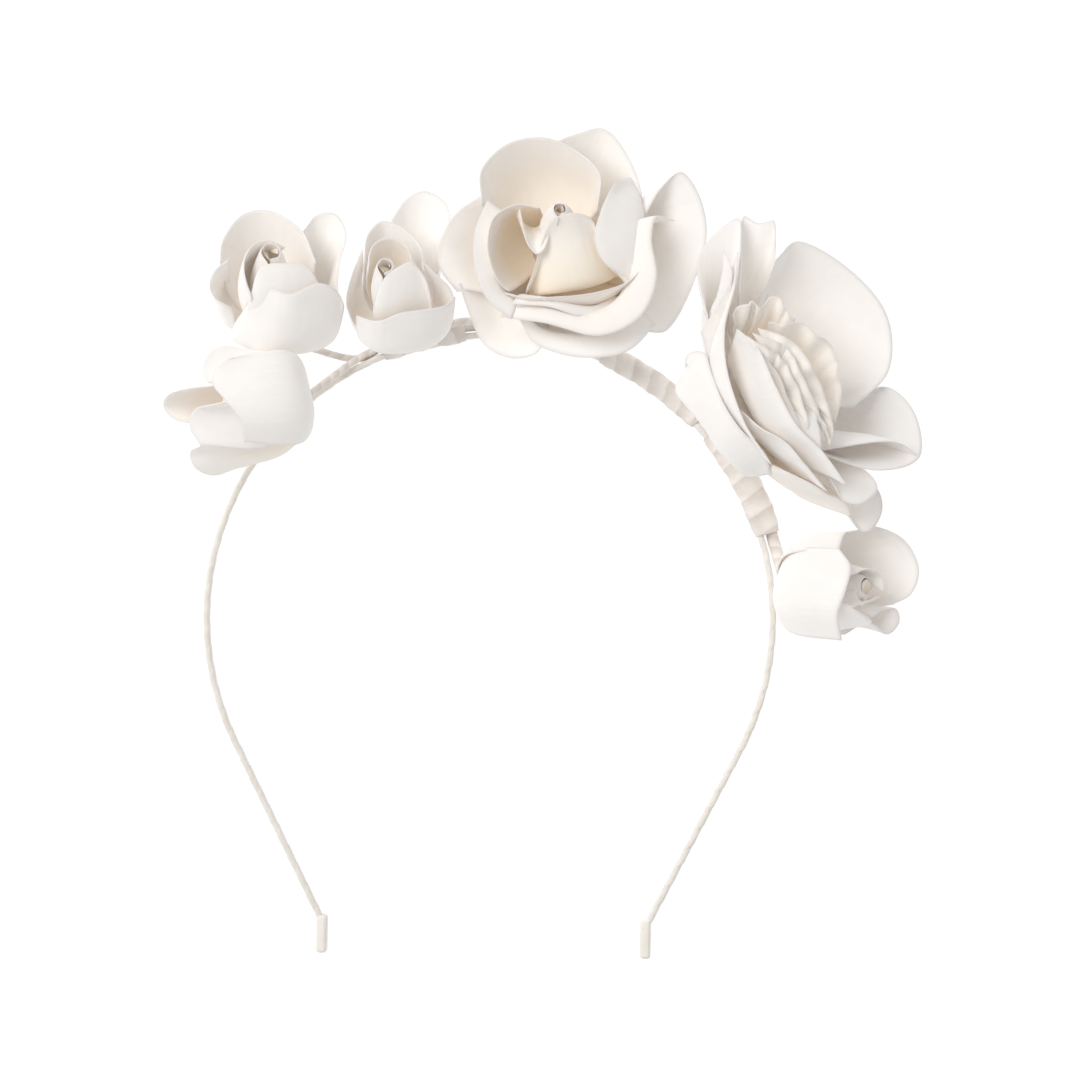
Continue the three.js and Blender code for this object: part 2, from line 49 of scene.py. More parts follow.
# Camera: straight above, at the scale and roll of the photograph
CAMERA_CENTRE = (11.69, 19.04)
CAMERA_DISTANCE = 868.0
CAMERA_ROLL = math.radians(1.117)
CAMERA_LENS = 120
CAMERA_SENSOR = 36
CAMERA_CLIP = (0.01, 20)

# Layout of the rims: the view from the camera, in steps of LAYOUT_STEP on the floor, from the top left.
# LAYOUT_ORIGIN is the object's origin there.
LAYOUT_STEP = 0.2411
LAYOUT_ORIGIN = (490, 618)

# Floor, in millimetres
FLOOR_HALF = 3000.0
FLOOR_LEVEL = -0.05

# Light, in metres and watts
ROOM_COLOUR = (1, 0.985, 0.965, 1)
ROOM_STRENGTH = 0.61
LIGHT_AIM = (0.02, 0.06, 0)
LIGHT_COLUMNS = ("name", "place", "size", "watts", "colour")
LIGHTS = (
    ("key", (-0.7, 0.5, 1.1), 0.8, 10.0, (1.0, 0.98, 0.96)),
    ("fill", (0.8, -0.5, 0.9), 1.0, 0.5, (1.0, 0.985, 0.97)),
)
LIGHT_BOUNCES = 12

# Band
ARCH_RADIUS = 68.0
LEG_TURN = math.radians(27)
LEG_LENGTH = 45.5
TIP_BEND_RADIUS = 10.0
TIP_LENGTH = 4.6
BAND_WIDTH = 4.0
BAND_THICKNESS = 1.6
BAND_EDGE_RADIUS = 0.75
BAND_END_SETBACK = 1
TIP_WIDTH = 5.5
TIP_THICKNESS = 2.5
TIP_OVERHANG = 0.4
BAND_HEIGHT = TIP_WIDTH / 2
BAND_STEP = 0.35
RIBBON_PITCH = 5.2
RIBBON_RIDGE = 0.16

# Sleeves on the band's tips, whose ends are rounded off less on the flat sides and at the corners
SLEEVE_LENGTH = 9.0
SLEEVE_STEPS = 32
SLEEVE_CORNER = 0.9
SLEEVE_ROUNDING = 0.8
SLEEVE_FLAT_SHARE = 0.8
SLEEVE_CORNER_SHARE = 0.6

# Stems and the receptacles on them
RECEPTACLE_DEPTH = 0.33
RECEPTACLE_SLOPE = 0.6
RECEPTACLE_TIP = 1.5
RECEPTACLE_SWELL_RADIUS = 0.8
RECEPTACLE_SWELL_DEPTH = 0.45
RECEPTACLE_EDGE_DEPTH = 0.14
# Painted warm shade on the receptacle, where it shows in the flower's hollow
RECEPTACLE_WARM_SHADE = 0.3
RECEPTACLE_SIDES = 48
NEAR_AXIS = 0.01
STEM_COLLAR = 0.5
STEM_RING_POINTS = 7
STEM_STEP = 0.3
STEM_SIDES = 16
STEM_PITCH = 3.4
STEM_RIDGE = 0.1

# Tape, thin at its ends, with soft swellings as waves of (height, radians a millimetre)
TAPE_GAP = 0.3
TAPE_THICKNESS = 0.45
TAPE_CORNER = 2.2
TAPE_CORNER_STEPS = 6
TAPE_PITCH = 4.6
TAPE_RIDGE = 0.07
TAPE_END_FADE = 2.0
TAPE_END_THIN = 0.34
TAPE_SWELL = 0.3
TAPE_SWELL_MIDDLE = 0.5
TAPE_WAVES = ((0.3, 0.9), (0.2, 2.1))
TAPE_LEAST_STEPS = 24
NO_RIDGE = 1e-6
LAP_DROP_FROM = 0.88
WRAP_CLOTH_WIDTH = 12

# Looks: dyes (with painted shade) and patches as stops of (place, colour), and the mix node's sockets for
# colours
WHITE = (1.0, 1.0, 1.0)
# The petal dye is the cloth's own ivory at the rim, turning into painted warm shade toward the foot
PETAL_DYE_AND_WARM_SHADE = (
    (0.0, (0.963, 0.948, 0.936)), (0.35, (0.963, 0.937, 0.906)),
    (0.7, (0.962, 0.912, 0.845)), (1.0, (0.955, 0.875, 0.755)),
)
PETAL_MOTTLE = ((0.3, (0.975, 0.972, 0.970)), (0.7, WHITE))
# Painted shade along the petals' cut edge
PETAL_EDGE_SHADE = ((0.0, WHITE), (1.0, (0.88, 0.862, 0.872)))
RIBBON_DYE = ((0.3, (0.84, 0.80, 0.74)), (0.7, (0.92, 0.89, 0.84)))
# The tape dye turns into painted shade in the folds of its laps and inside the sleeve
TAPE_DYE_AND_FOLD_SHADE = ((0.0, (0.94, 0.905, 0.875)), (1.0, (0.76, 0.705, 0.66)))
TAPE_MOTTLE = ((0.3, (0.88, 0.87, 0.86)), (0.7, WHITE))
FLOOR_PAPER = ((0.3, (0.24, 0.24, 0.24)), (0.7, (0.26, 0.26, 0.26)))
WEAVE_DISTORTION = 0.6
MIX_FIRST, MIX_SECOND, MIX_RESULT = 6, 7, 2

# Petals: walls that thin toward the edge, with painted warm shade inside and near the foot and painted shade
# at the rim
PETAL_GAP = 1.4
PETAL_THICKNESS = 0.5
PETAL_EDGE = 0.16
PETAL_EDGE_FADE = 0.7
OUTER_WARM_SHADE = 0.6
WARM_SHADE_FADE = 0.55
WARM_SHADE_FADE_FROM, WARM_SHADE_FADE_TO = 0.1, 0.95
EDGE_SHADE_WIDTH = 1.1
WOUND_SPREAD = 150
WIND = 1.3
PETAL_ACROSS = 56
PETAL_ALONG = 40

# Folds of a petal: radians across it for the long waves, the short waves and the fine folds, which crowd
# where the cloth is crumpled, and the sizes of the slower bends that they ride on
FOLD_TURNS = ((3.0, 4.5), (6.5, 8.5), (12.0, 16.0))
FOLD_PHASES = 6
LONG_WAVE, SHORT_WAVE = 0.6, 0.4
CROWDING = 1.6
CROWDED_FROM, CROWDED_TO = 0.1, 0.7
FINE_DRIFT_ALONG, FINE_DRIFT_ACROSS = 1.4, 1.8
FINE_DRIFT_TURN = 5
FINE_PATCHES = 0.35
SWELL_HEIGHT = 0.5
SWELL_TURN = 3.2
CREASE_HEIGHT = 0.2
CREASE_TURN = 9.0
CREASE_DRIFT = 0.8

# Flowers: the middle of each receptacle, how far and which way its axis leans, and its radius
FLOWER_COLUMNS = ("name", "x", "y", "z", "lean", "toward", "receptacle")
FLOWERS = (
    ("rose_top", 15, 85.5, 7.6, 27, 92, 14.2),
    ("rose_right", 59.7, 53.2, 15.8, 50, 29.6, 11.6),
    ("bud_low_left", -46, 50.8, 17, 76, 190, 4.4),
    ("bud_upper_left", -53.1, 67.3, 7.8, 49, 90, 4.8),
    ("bud_upper_mid", -23, 68, 11.5, 50, 98, 4.4),
    ("bud_low_right", 71.4, 8.6, 10, 60, -8, 4.4),
)

# Each petal is a fan from its foot, on a circle of radius base round the flower's axis, to its rim.
# facing is the way its middle faces round the axis and spread the angle from there to each side. cup bows it
# outward and flare bends its rim back, as shares of its length. ruffle is the height of the rim's waves,
# crumple that of the fine folds, and the column after it the share of painted warm shade in the dye. foot is
# its level on the axis, or None where it is on the receptacle. The rim runs anticlockwise, each point as
# steps across and down in the layout and its height in millimetres.
PETAL_COLUMNS = (
    "name", "facing", "base", "foot", "spread", "cup", "flare", "ruffle", "crumple", "warm_shade", "rim",
)
PETALS = {
    "rose_top": (
        ("core", 85, 3, None, 176, 0.12, 0, 0.15, 0.05, 1.1, (
            (560, 214, 31), (566, 211, 30.6), (564, 204, 30), (556, 204, 30), (554, 210, 30.6),
            (559, 218, 31.6),
        )),
        ("fold", 128, 6, None, 20, 0.16, 0, 0.2, 0.05, 1.3, (
            (551, 222, 28.6), (549, 234, 29.4), (545, 248, 29.8), (537, 254, 29.8), (529, 246, 29.5),
            (523, 228, 29), (519, 209, 28.4),
        )),
        ("centre", -74, 8.5, None, 54, 0.36, 0.15, 0.2, 0.08, 2.2, (
            (526, 292, 26.6), (536, 262, 28), (545, 234, 29.8), (553, 219, 31), (572, 213, 31.4),
            (590, 218, 29.6), (600, 240, 27.5), (608, 266, 26.4),
        )),
        ("inner_left", 172, 6.4, None, 56, 0.1, 0, 0.3, 0.08, 1.4, (
            (540, 208, 27.6), (517, 205, 28.6), (493, 217, 29.5), (486, 245, 30), (492, 270, 29.5),
            (501, 284, 28.8), (510, 291, 28),
        )),
        ("inner_right", 4, 9.9, None, 46, 0.58, 0, 0.4, 0.08, 0.9, (
            (629, 280, 27.4), (606, 266, 29.6), (595, 241, 30), (601, 212, 28.6), (616, 182, 24),
        )),
        ("inner_front", -82, 9.8, None, 46, 0.24, 0.06, 0.25, 0.08, 0.9, (
            (504, 293, 28.2), (524, 297, 29.7), (560, 296, 30.6), (600, 291, 30), (628, 282, 28.5),
            (645, 266, 27),
        )),
        ("front_mid", -78, 10.4, None, 50, 0.08, 0.12, 0.4, 0.08, 0.8, (
            (512, 304, 28.6), (545, 307, 29.4), (580, 317, 29.4), (604, 318, 27), (626, 306, 24),
        )),
        ("back", 97, 8, None, 48, 0.14, 0.03, 0.5, 0.08, 0.8, (
            (598, 212, 25), (600, 173, 23), (575, 150, 21), (545, 137, 20.5), (508, 142, 21),
            (480, 170, 24), (482, 205, 27),
        )),
        ("left", 183, 9.2, None, 48, 0.1, 0.16, 0.5, 0.08, 0.6, (
            (487, 200, 26.5), (474, 235, 28.5), (475, 270, 29.5), (488, 300, 29.5), (512, 319, 28.5),
        )),
        ("front", -60, 11, None, 70, 0.08, 0.18, 0.5, 0.08, 1, (
            (500, 317, 27), (545, 323, 30), (600, 336, 31), (640, 318, 30.5), (657, 280, 28.5),
            (652, 238, 26), (657, 216, 24), (675, 219, 21),
        )),
        ("back_right", 55, 10.2, None, 40, 0.15, 0.05, 0.6, 0.08, 0.4, (
            (642, 228, 18), (642, 195, 16.5), (630, 160, 15), (604, 129, 14), (575, 134, 14.5),
            (553, 141, 16),
        )),
        ("right_outer", 10, 12.6, None, 50, 0.12, 0.08, 0.6, 0.08, 0.4, (
            (642, 331, 15), (666, 331, 13), (697, 275, 14), (707, 230, 15), (697, 190, 16),
            (680, 171, 17), (660, 188, 18), (645, 214, 19),
        )),
        ("left_outer", 180, 11.6, None, 45, 0.12, 0.08, 0.6, 0.08, 0.7, (
            (484, 192, 20), (455, 213, 19), (440, 243, 18.5), (440, 268, 18), (457, 292, 17),
        )),
        ("front_outer", -82, 12.6, None, 50, 0.14, 0.16, 0.6, 0.08, 0.4, (
            (520, 320, 25), (534, 342, 25), (560, 354, 24.5), (595, 358, 24.5), (630, 350, 24.5),
            (656, 324, 24),
        )),
        ("front_left", -135, 13.8, None, 40, 0.2, 0.06, 0.6, 0.08, 0.4, (
            (458, 284, 17), (470, 315, 17), (485, 346, 17), (510, 358, 17.5), (532, 354, 18),
            (543, 340, 19),
        )),
        ("heart", 85, 0.8, 22, 176, 0.1, 0, 0.1, 0.02, 1.6, (
            (564, 210.5, 29.3), (562, 205.5, 29.2), (557, 205.5, 29.2), (555.5, 210.5, 29.3),
            (560, 214, 29.8),
        )),
    ),
    "rose_right": (
        ("crumple_a", 30, 2.4, None, 70, 0.1, 0.06, 1.6, 0.7, 1.2, (
            (836, 424, 30), (842, 392, 29), (836, 360, 29), (818, 334, 31), (792, 322, 33),
            (768, 322, 35),
        )),
        ("crumple_b", 120, 4, None, 60, 0.12, 0.06, 1.6, 0.7, 1.2, (
            (796, 318, 29), (778, 300, 30), (762, 306, 31), (750, 300, 32), (738, 318, 34),
        )),
        ("crumple_c", 20, 3.2, None, 75, 0.06, 0.22, 1.6, 0.7, 1.2, (
            (834, 444, 33.5), (832, 420, 34.5), (822, 388, 35), (808, 358, 35.5), (788, 338, 36),
            (758, 328, 37),
        )),
        ("crumple_d", 20, 2.2, None, 80, 0.06, 0.22, 1.6, 0.7, 1.2, (
            (828, 448, 35.5), (822, 424, 36.5), (812, 394, 37), (798, 364, 37.5), (780, 344, 38),
            (752, 332, 38.5),
        )),
        ("crumple_e", 20, 1.4, None, 85, 0.06, 0.22, 1.6, 0.7, 1.2, (
            (820, 446, 37.5), (812, 424, 38.5), (800, 396, 39), (788, 370, 39.5), (772, 350, 39.5),
            (748, 334, 39.5),
        )),
        ("inner_left", 222, 5.4, None, 66, 0.15, 0.04, 0.4, 0.08, 0.6, (
            (738, 328, 38), (757, 347, 41), (775, 385, 43), (797, 425, 43), (825, 455, 41),
            (846, 487, 37),
        )),
        ("inner_low", 245, 7, None, 50, 0.2, 0.05, 0.5, 0.08, 0.6, (
            (741, 412, 34), (762, 430, 37), (785, 443, 38), (805, 462, 37), (829, 491, 33),
        )),
        ("right_big", 40, 5.6, None, 56, 0.12, 0.03, 0.6, 0.08, 0.4, (
            (853, 408, 19), (889, 370, 15), (887, 315, 14), (848, 268, 15), (797, 241, 19),
            (775, 258, 24),
        )),
        ("top", 105, 7.2, None, 32, 0.1, 0.04, 0.6, 0.08, 0.4, (
            (774, 262, 20), (775, 221, 17), (758, 223, 17), (744, 216, 17), (741, 245, 20),
        )),
        ("top_left", 140, 8.8, None, 36, 0.1, 0.06, 0.6, 0.08, 0.4, (
            (738, 290, 27), (740, 245, 23), (738, 218, 20), (716, 233, 20.5), (702, 250, 21.5),
            (698, 272, 23), (706, 315, 25),
        )),
        ("left", 190, 8.6, None, 46, 0.2, 0.06, 0.8, 0.08, 0.6, (
            (739, 252, 25), (736, 285, 31), (724, 330, 36), (725, 375, 38), (743, 425, 37.5),
            (773, 466, 33),
        )),
        ("left_outer", 218, 10.4, None, 50, 0.74, 0.03, 0.6, 0.08, 0.4, (
            (688, 386, 19), (687, 357, 23.5), (703, 352, 28), (712, 376, 31), (724, 404, 33),
            (742, 430, 34), (765, 452, 32), (771, 474, 27),
        )),
        ("low", -72, 9, None, 42, 0.36, 0.05, 0.6, 0.08, 1.8, (
            (773, 466, 29), (792, 474, 31), (812, 482, 31), (832, 494, 29), (846, 503, 25),
            (852, 518, 21),
        )),
        ("low_lobe", -45, 6.8, None, 30, 0.1, 0.1, 0.6, 0.08, 0.4, (
            (836, 486, 30), (846, 501, 29), (862, 504, 28), (877, 491, 26), (872, 479, 25),
        )),
        ("low_tip", -50, 10.8, None, 30, 0.1, 0.06, 0.6, 0.08, 0.4, (
            (846, 500, 20), (853, 516, 18), (868, 533, 16), (882, 512, 16), (879, 490, 18),
            (862, 480, 21),
        )),
        ("low_right", -15, 7.2, None, 42, 0.12, 0.05, 0.6, 0.08, 0.4, (
            (826, 455, 31), (878, 471, 28), (920, 457, 17), (914, 412, 13), (889, 388, 13.5),
            (845, 408, 17),
        )),
        ("low_inner", -8, 6.4, None, 40, 0.12, 0.05, 0.6, 0.08, 0.4, (
            (822, 450, 32), (838, 446, 31), (880, 440, 26), (904, 444, 20.5), (919, 455, 17.2),
            (914, 418, 12.8), (890, 391, 13.2), (847, 407, 16.6),
        )),
        ("crumple_f", 20, 0.7, None, 85, 0.06, 0.22, 0.6, 0.3, 1.2, (
            (822, 450, 39), (806, 432, 40), (790, 404, 40.5), (776, 374, 40.5), (762, 352, 40),
            (744, 334, 39),
        )),
        ("left_fold", 165, 8.7, None, 30, 0.12, 0.05, 0.6, 0.08, 0.4, (
            (722, 250, 26), (730, 264, 28), (734, 279, 30), (718, 305, 31), (700, 332, 30),
        )),
    ),
    "bud_low_left": (
        ("core", 25, 2.2, None, 176, 0.1, 0, 0.15, 0.05, 1.1, (
            (226, 416, 19), (224, 421, 23), (222, 412, 27), (223, 398, 25), (226, 396, 20),
            (227, 406, 16), (225, 422, 17),
        )),
        ("upper", 80, 3.2, None, 50, 0.22, 0.05, 0.6, 0.08, 0.4, (
            (208, 384, 32), (203, 368, 30), (210, 352, 27), (228, 345, 24), (246, 352, 21),
        )),
        ("finger", 180, 3.4, None, 35, 0.2, 0.05, 0.6, 0.08, 0.8, (
            (214, 384, 29), (188, 386, 27), (168, 394, 22), (164, 408, 18), (175, 420, 17.5),
            (193, 424, 20),
        )),
        ("side", 330, 3.4, None, 40, 0.18, 0.03, 0.6, 0.08, 0.4, (
            (200, 446, 29), (190, 428, 29), (193, 412, 31), (222, 404, 36),
        )),
        ("low", 284, 2.4, -2.7, 46, 0.15, 0.04, 0.6, 0.08, 1.7, (
            (270, 455, 15), (242, 467, 14), (215, 477, 15), (195, 468, 18), (190, 452, 21),
            (200, 445, 25),
        )),
        ("front", 18, 2.4, -2.7, 74, 0.26, 0.03, 0.6, 0.08, 0.4, (
            (244, 442, 35), (240, 420, 38), (225, 400, 39), (212, 380, 38), (222, 362, 36),
            (250, 356, 33),
        )),
    ),
    "bud_upper_left": (
        ("core", 85, 2.4, None, 176, 0.1, 0, 0.15, 0.05, 1.1, (
            (270, 259, 28.5), (279, 256, 27.5), (278, 246, 26.5), (268, 243, 26.8), (261, 251, 28),
            (268, 264, 29.3),
        )),
        ("inner_left", 185, 3.5, None, 60, 0.13, 0, 0.3, 0.08, 0.7, (
            (285, 247, 24), (268, 240, 25.6), (254, 244, 27.2), (246, 259, 28.3), (247, 280, 28.3),
            (252, 298, 27.5),
        )),
        ("inner_front", 288, 3.9, None, 65, 0.22, 0, 0.25, 0.08, 0.9, (
            (254, 294, 27), (261, 267, 29.5), (285, 263, 30), (308, 267, 28.5), (319, 285, 26),
        )),
        ("back", 95, 4.4, None, 60, 0.15, 0.03, 0.6, 0.08, 0.4, (
            (318, 262, 22), (303, 229, 18), (268, 210, 15.5), (242, 216, 16.5), (224, 240, 18.5),
            (221, 263, 21),
        )),
        ("left", 178, 4.8, None, 36, 0.2, 0.06, 0.6, 0.08, 0.4, (
            (228, 259, 21), (214, 270, 21), (210, 284, 20), (217, 297, 19.5), (232, 307, 18),
        )),
        ("back_right", 40, 4.8, None, 45, 0.14, 0.05, 0.6, 0.08, 0.4, (
            (339, 292, 21), (340, 262, 18), (344, 232, 14.5), (334, 214, 13), (316, 215, 13),
            (303, 230, 15),
        )),
        ("front", 280, 2.4, -2.8, 80, 0.29, 0.03, 0.6, 0.08, 0.4, (
            (247, 304, 25), (262, 287, 28.5), (290, 294, 30), (318, 283, 28), (336, 290, 25),
            (344, 306, 22),
        )),
        ("heart", 85, 0.8, 24.6, 176, 0.1, 0, 0.1, 0.02, 1.6, (
            (278.5, 254, 26), (277, 245.5, 25.2), (268, 243.8, 25.4), (263.5, 251, 26.4), (269.5, 260, 27.4),
        )),
    ),
    "bud_upper_mid": (
        ("core", 110, 2.2, None, 176, 0.12, 0, 0.15, 0.05, 1.1, (
            (384, 273, 29), (391, 269, 28), (390, 261, 27.3), (382, 259, 27.5), (377, 266, 28.5),
            (382, 278, 29.8),
        )),
        ("inner_back", 95, 3.2, None, 60, 0.12, 0, 0.25, 0.08, 1, (
            (412, 268, 26), (408, 248, 24.5), (390, 237, 24), (374, 245, 25), (368, 272, 26.5),
        )),
        ("inner_front", 290, 3.2, None, 60, 0.2, 0, 0.25, 0.08, 0.9, (
            (378, 288, 28), (386, 276, 29.5), (398, 267, 29.5), (412, 262, 28.5), (424, 278, 27),
            (430, 302, 26),
        )),
        ("back", 100, 4, None, 60, 0.14, 0.03, 0.6, 0.08, 0.4, (
            (422, 272, 23), (419, 245, 19.5), (402, 226, 17.5), (382, 220, 17.5), (369, 233, 19.5),
            (364, 264, 23),
        )),
        ("left", 188, 4.4, None, 45, 0.22, 0.05, 0.6, 0.08, 0.4, (
            (364, 250, 21), (352, 274, 21.5), (344, 298, 20.5), (350, 318, 20), (362, 330, 18),
        )),
        ("right", -20, 4.4, None, 45, 0.22, 0.05, 0.6, 0.08, 0.4, (
            (446, 327, 18), (454, 303, 20), (450, 288, 21.5), (437, 275, 22.5), (424, 262, 23),
        )),
        ("back_tall", 70, 4.6, None, 40, 0.12, 0.04, 0.6, 0.08, 0.4, (
            (440, 262, 17), (449, 222, 12.5), (443, 201, 10.5), (425, 191, 10), (406, 199, 11),
            (391, 220, 14),
        )),
        ("front", 275, 2.4, -2.7, 78, 0.25, 0.03, 0.6, 0.08, 0.4, (
            (356, 316, 24), (378, 321, 28), (400, 314, 29.5), (425, 310, 28.5), (442, 306, 26),
            (454, 296, 23),
        )),
        ("heart", 110, 0.8, 19.4, 176, 0.1, 0, 0.1, 0.02, 1.6, (
            (389.5, 267.5, 26.5), (389, 262, 26), (383.5, 260.5, 26), (379.5, 265, 26.6),
            (383.5, 272.5, 27.4),
        )),
    ),
    "bud_low_right": (
        ("core", 180, 2.4, None, 176, 0.12, 0, 0.15, 0.05, 1.1, (
            (872, 590, 19.8), (872, 583, 20.4), (866, 577, 22.8), (861, 582, 25.2), (861, 590, 25.8),
            (866, 596, 23.4), (873, 595, 19.2),
        )),
        ("inner_top", 120, 3.4, None, 55, 0.15, 0.03, 0.6, 0.08, 0.4, (
            (884, 592, 20.5), (882, 578, 21), (868, 569, 24), (855, 575, 28),
        )),
        ("back", 20, 4, None, 65, 0.16, 0.03, 0.6, 0.08, 0.4, (
            (893, 604, 15), (911, 594, 12.5), (919, 570, 11), (905, 540, 11), (876, 525, 13),
            (850, 530, 16),
        )),
        ("top", 100, 2.4, -2.7, 40, 0.26, 0.03, 0.6, 0.08, 0.4, (
            (848, 531, 15), (846, 535, 18), (842, 541, 21), (838, 549, 25),
        )),
        ("low", 245, 3.4, None, 45, 0.2, 0.04, 0.6, 0.08, 0.4, (
            (842, 604, 31), (856, 609, 30), (872, 620, 25), (858, 627, 21), (843, 634, 20),
        )),
        ("small", -45, 3.8, None, 25, 0.1, 0.05, 0.6, 0.08, 0.4, (
            (874, 624, 19), (889, 632, 16), (899, 622, 15), (896, 609, 15.5), (884, 608, 17),
            (872, 617, 20),
        )),
        ("front", 172, 2.4, -2.7, 64, 0.2, 0.03, 0.6, 0.08, 0.4, (
            (838, 548, 27), (850, 566, 31), (846, 590, 33), (838, 612, 32), (842, 640, 27),
        )),
        ("inner_low", 250, 3, None, 55, 0.15, 0.06, 0.6, 0.08, 0.4, (
            (856, 590, 28.5), (860, 600, 27), (870, 603, 23), (880, 596, 19.5),
        )),
        ("heart", 180, 0.8, 19, 176, 0.1, 0, 0.1, 0.02, 1.6, (
            (871.5, 589.5, 19.8), (870.5, 582.5, 21), (866, 579.5, 22.8), (861.8, 585, 24.6),
            (862.8, 593, 24.3), (868.5, 594.5, 21.2),
        )),
    ),
}

# Inner petals and folds in this scene alone
SCENE_PETALS = {
    "rose_top_fold", "rose_top_front_mid", "rose_top_heart",
    "rose_right_crumple_c", "rose_right_crumple_d", "rose_right_crumple_e",
    "rose_right_low_lobe", "rose_right_low_inner", "rose_right_crumple_f",
    "rose_right_left_fold", "bud_upper_left_heart", "bud_upper_mid_inner_back",
    "bud_upper_mid_inner_front", "bud_upper_mid_heart", "bud_low_right_inner_top",
    "bud_low_right_inner_low", "bud_low_right_heart",
}

# Stems: where each runs beside the band, in degrees, and how far under its receptacle it turns in
STEM_COLUMNS = ("flower", "radius", "start", "end", "ring", "level", "below")
STEMS = (
    ("rose_top", 0.9, 48, 75, 70.0, 1.1, 2.5),
    ("rose_right", 0.9, 70, 43, 70.0, -1.1, 2.5),
    ("bud_low_left", 0.9, 90, 117, 70.0, 1.1, 0),
    ("bud_upper_left", 0.9, 90, 118, 70.0, -1.1, 0),
    ("bud_upper_mid", 0.9, 84, 97, 71.4, 3.95, 1.5),
    ("bud_low_right", 1.5, 40, 16, 70.7, 0, 0),
)

# Tapes: degrees round the band, and how far outward each reaches
TAPE_COLUMNS = ("name", "start", "end", "reach")
TAPES = (
    ("tape_left", 113, 96, 3.2),
    ("tape_right_upper", 68, 44.5, 3.2),
    ("tape_right_lower", 41, 18, 4.5),
)


def named(columns, row):
    return dict(zip(columns, row))


def smooth_step(low, high, value):
    t = np.clip((value - low) / (high - low), 0, 1)
    return t * t * (3 - 2 * t)


# Meshes

def new_object(name, points, faces, materials, uv=None, depth=None, slots=None, rim=None):
    """A smooth mesh object from points in millimetres. uv, depth (the amount of painted shade) and rim
    (painted shade at the cut edge) are given per point.
    """
    mesh = bpy.data.meshes.new(name)
    mesh.from_pydata((np.asarray(points) * MM).tolist(), [], faces)
    mesh.polygons.foreach_set("use_smooth", [True] * len(mesh.polygons))
    corners = np.zeros(len(mesh.loops), np.int32)
    mesh.loops.foreach_get("vertex_index", corners)
    if uv is not None:
        layer = mesh.uv_layers.new(name="cloth")
        layer.data.foreach_set("uv", np.asarray(uv, np.float32)[corners].ravel())
    for mark, values in (("depth", depth), ("rim", rim)):
        if values is not None:
            attribute = mesh.attributes.new(mark, "FLOAT", "POINT")
            attribute.data.foreach_set("value", np.asarray(values, np.float32))
    for material in materials:
        mesh.materials.append(material)
    if slots is not None:
        mesh.polygons.foreach_set("material_index", slots)
    mesh.update()
    thing = bpy.data.objects.new(name, mesh)
    bpy.context.scene.collection.objects.link(thing)
    return thing


def grid_faces(rows, columns, start=0, wrap=False, flip=False):
    """Quads of a grid of points, stored row by row. wrap closes each row to a ring."""
    faces = []
    last = columns if wrap else columns - 1
    for r in range(rows - 1):
        for c in range(last):
            a = start + r * columns + c
            b = start + r * columns + (c + 1) % columns
            quad = (a, b, b + columns, a + columns)
            faces.append(quad[::-1] if flip else quad)
    return faces


def tube(rings):
    """Points and faces of a closed tube through equal rings, anticlockwise seen from the far end."""
    rings = np.asarray(rings)
    count, sides = rings.shape[:2]
    first = count * sides
    tail = first - sides
    points = np.vstack([rings.reshape(-1, 3), rings[0].mean(0), rings[-1].mean(0)])
    faces = grid_faces(count, sides, wrap=True)
    for c in range(sides):
        d = (c + 1) % sides
        faces.append((d, c, first))
        faces.append((tail + c, tail + d, first + 1))
    return points, faces


def merged(parts):
    """Several (points, faces) as one, with the number of faces that each gives."""
    points, faces, counts = [], [], []
    start = 0
    for part_points, part_faces in parts:
        points.append(part_points)
        faces += [tuple(start + i for i in face) for face in part_faces]
        counts.append(len(part_faces))
        start += len(part_points)
    return np.vstack(points), faces, counts


def dress(thing, slot, *nodes):
    """Puts a piece on the body, in place of the solids that it shows."""
    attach(thing, BODY)
    if nodes:
        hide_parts(*nodes)


def with_ends(points):
    """The points, with one more before the first and after the last, straight on."""
    points = [np.asarray(p, float) for p in points]
    return [2 * points[0] - points[1], *points, 2 * points[-1] - points[-2]]


def curve_point(points, t):
    """A point of a smooth curve through four points, at the time t from the second to the third."""
    p0, p1, p2, p3 = points
    spans = [math.sqrt(np.linalg.norm(b - a)) for a, b in ((p0, p1), (p1, p2), (p2, p3))]
    before = (p1 - p0) / spans[0] - (p2 - p0) / (spans[0] + spans[1]) + (p2 - p1) / spans[1]
    after = (p2 - p1) / spans[1] - (p3 - p1) / (spans[1] + spans[2]) + (p3 - p2) / spans[2]
    share = 3 * t ** 2 - 2 * t ** 3
    leave = t ** 3 - 2 * t ** 2 + t
    arrive = t ** 3 - t ** 2
    return p1 + share * (p2 - p1) + (leave * before + arrive * after) * spans[1]


def curve_points(points, count):
    """Points of a smooth curve, with an equal number in each stretch."""
    last = len(points) - 1
    points = with_ends(points)
    samples = []
    for place in np.linspace(0, last, count):
        i = min(int(place), last - 1)
        samples.append(curve_point(points[i:i + 4], place - i))
    return np.array(samples)


def stepped_curve(points, step):
    """Points of a smooth curve, about one every step."""
    points = with_ends(points)
    samples = []
    for i in range(len(points) - 3):
        stretch = points[i:i + 4]
        count = max(2, int(np.linalg.norm(stretch[2] - stretch[1]) / step))
        samples += [curve_point(stretch, t) for t in np.arange(count) / count]
    samples.append(points[-2])
    return np.array(samples)


def lengths_along(line):
    """The length of a line up to each of its points."""
    return np.concatenate([[0], np.cumsum(np.linalg.norm(np.diff(line, axis=0), axis=1))])


# Materials

def shader(name):
    material = bpy.data.materials.new(name)
    material.use_nodes = True
    tree = material.node_tree
    return material, tree, tree.nodes["Principled BSDF"]


def set_values(principled, **values):
    """Sets the shader's own sockets, whose names are given with _ for a space."""
    for key, value in values.items():
        principled.inputs[key.replace("_", " ")].default_value = value


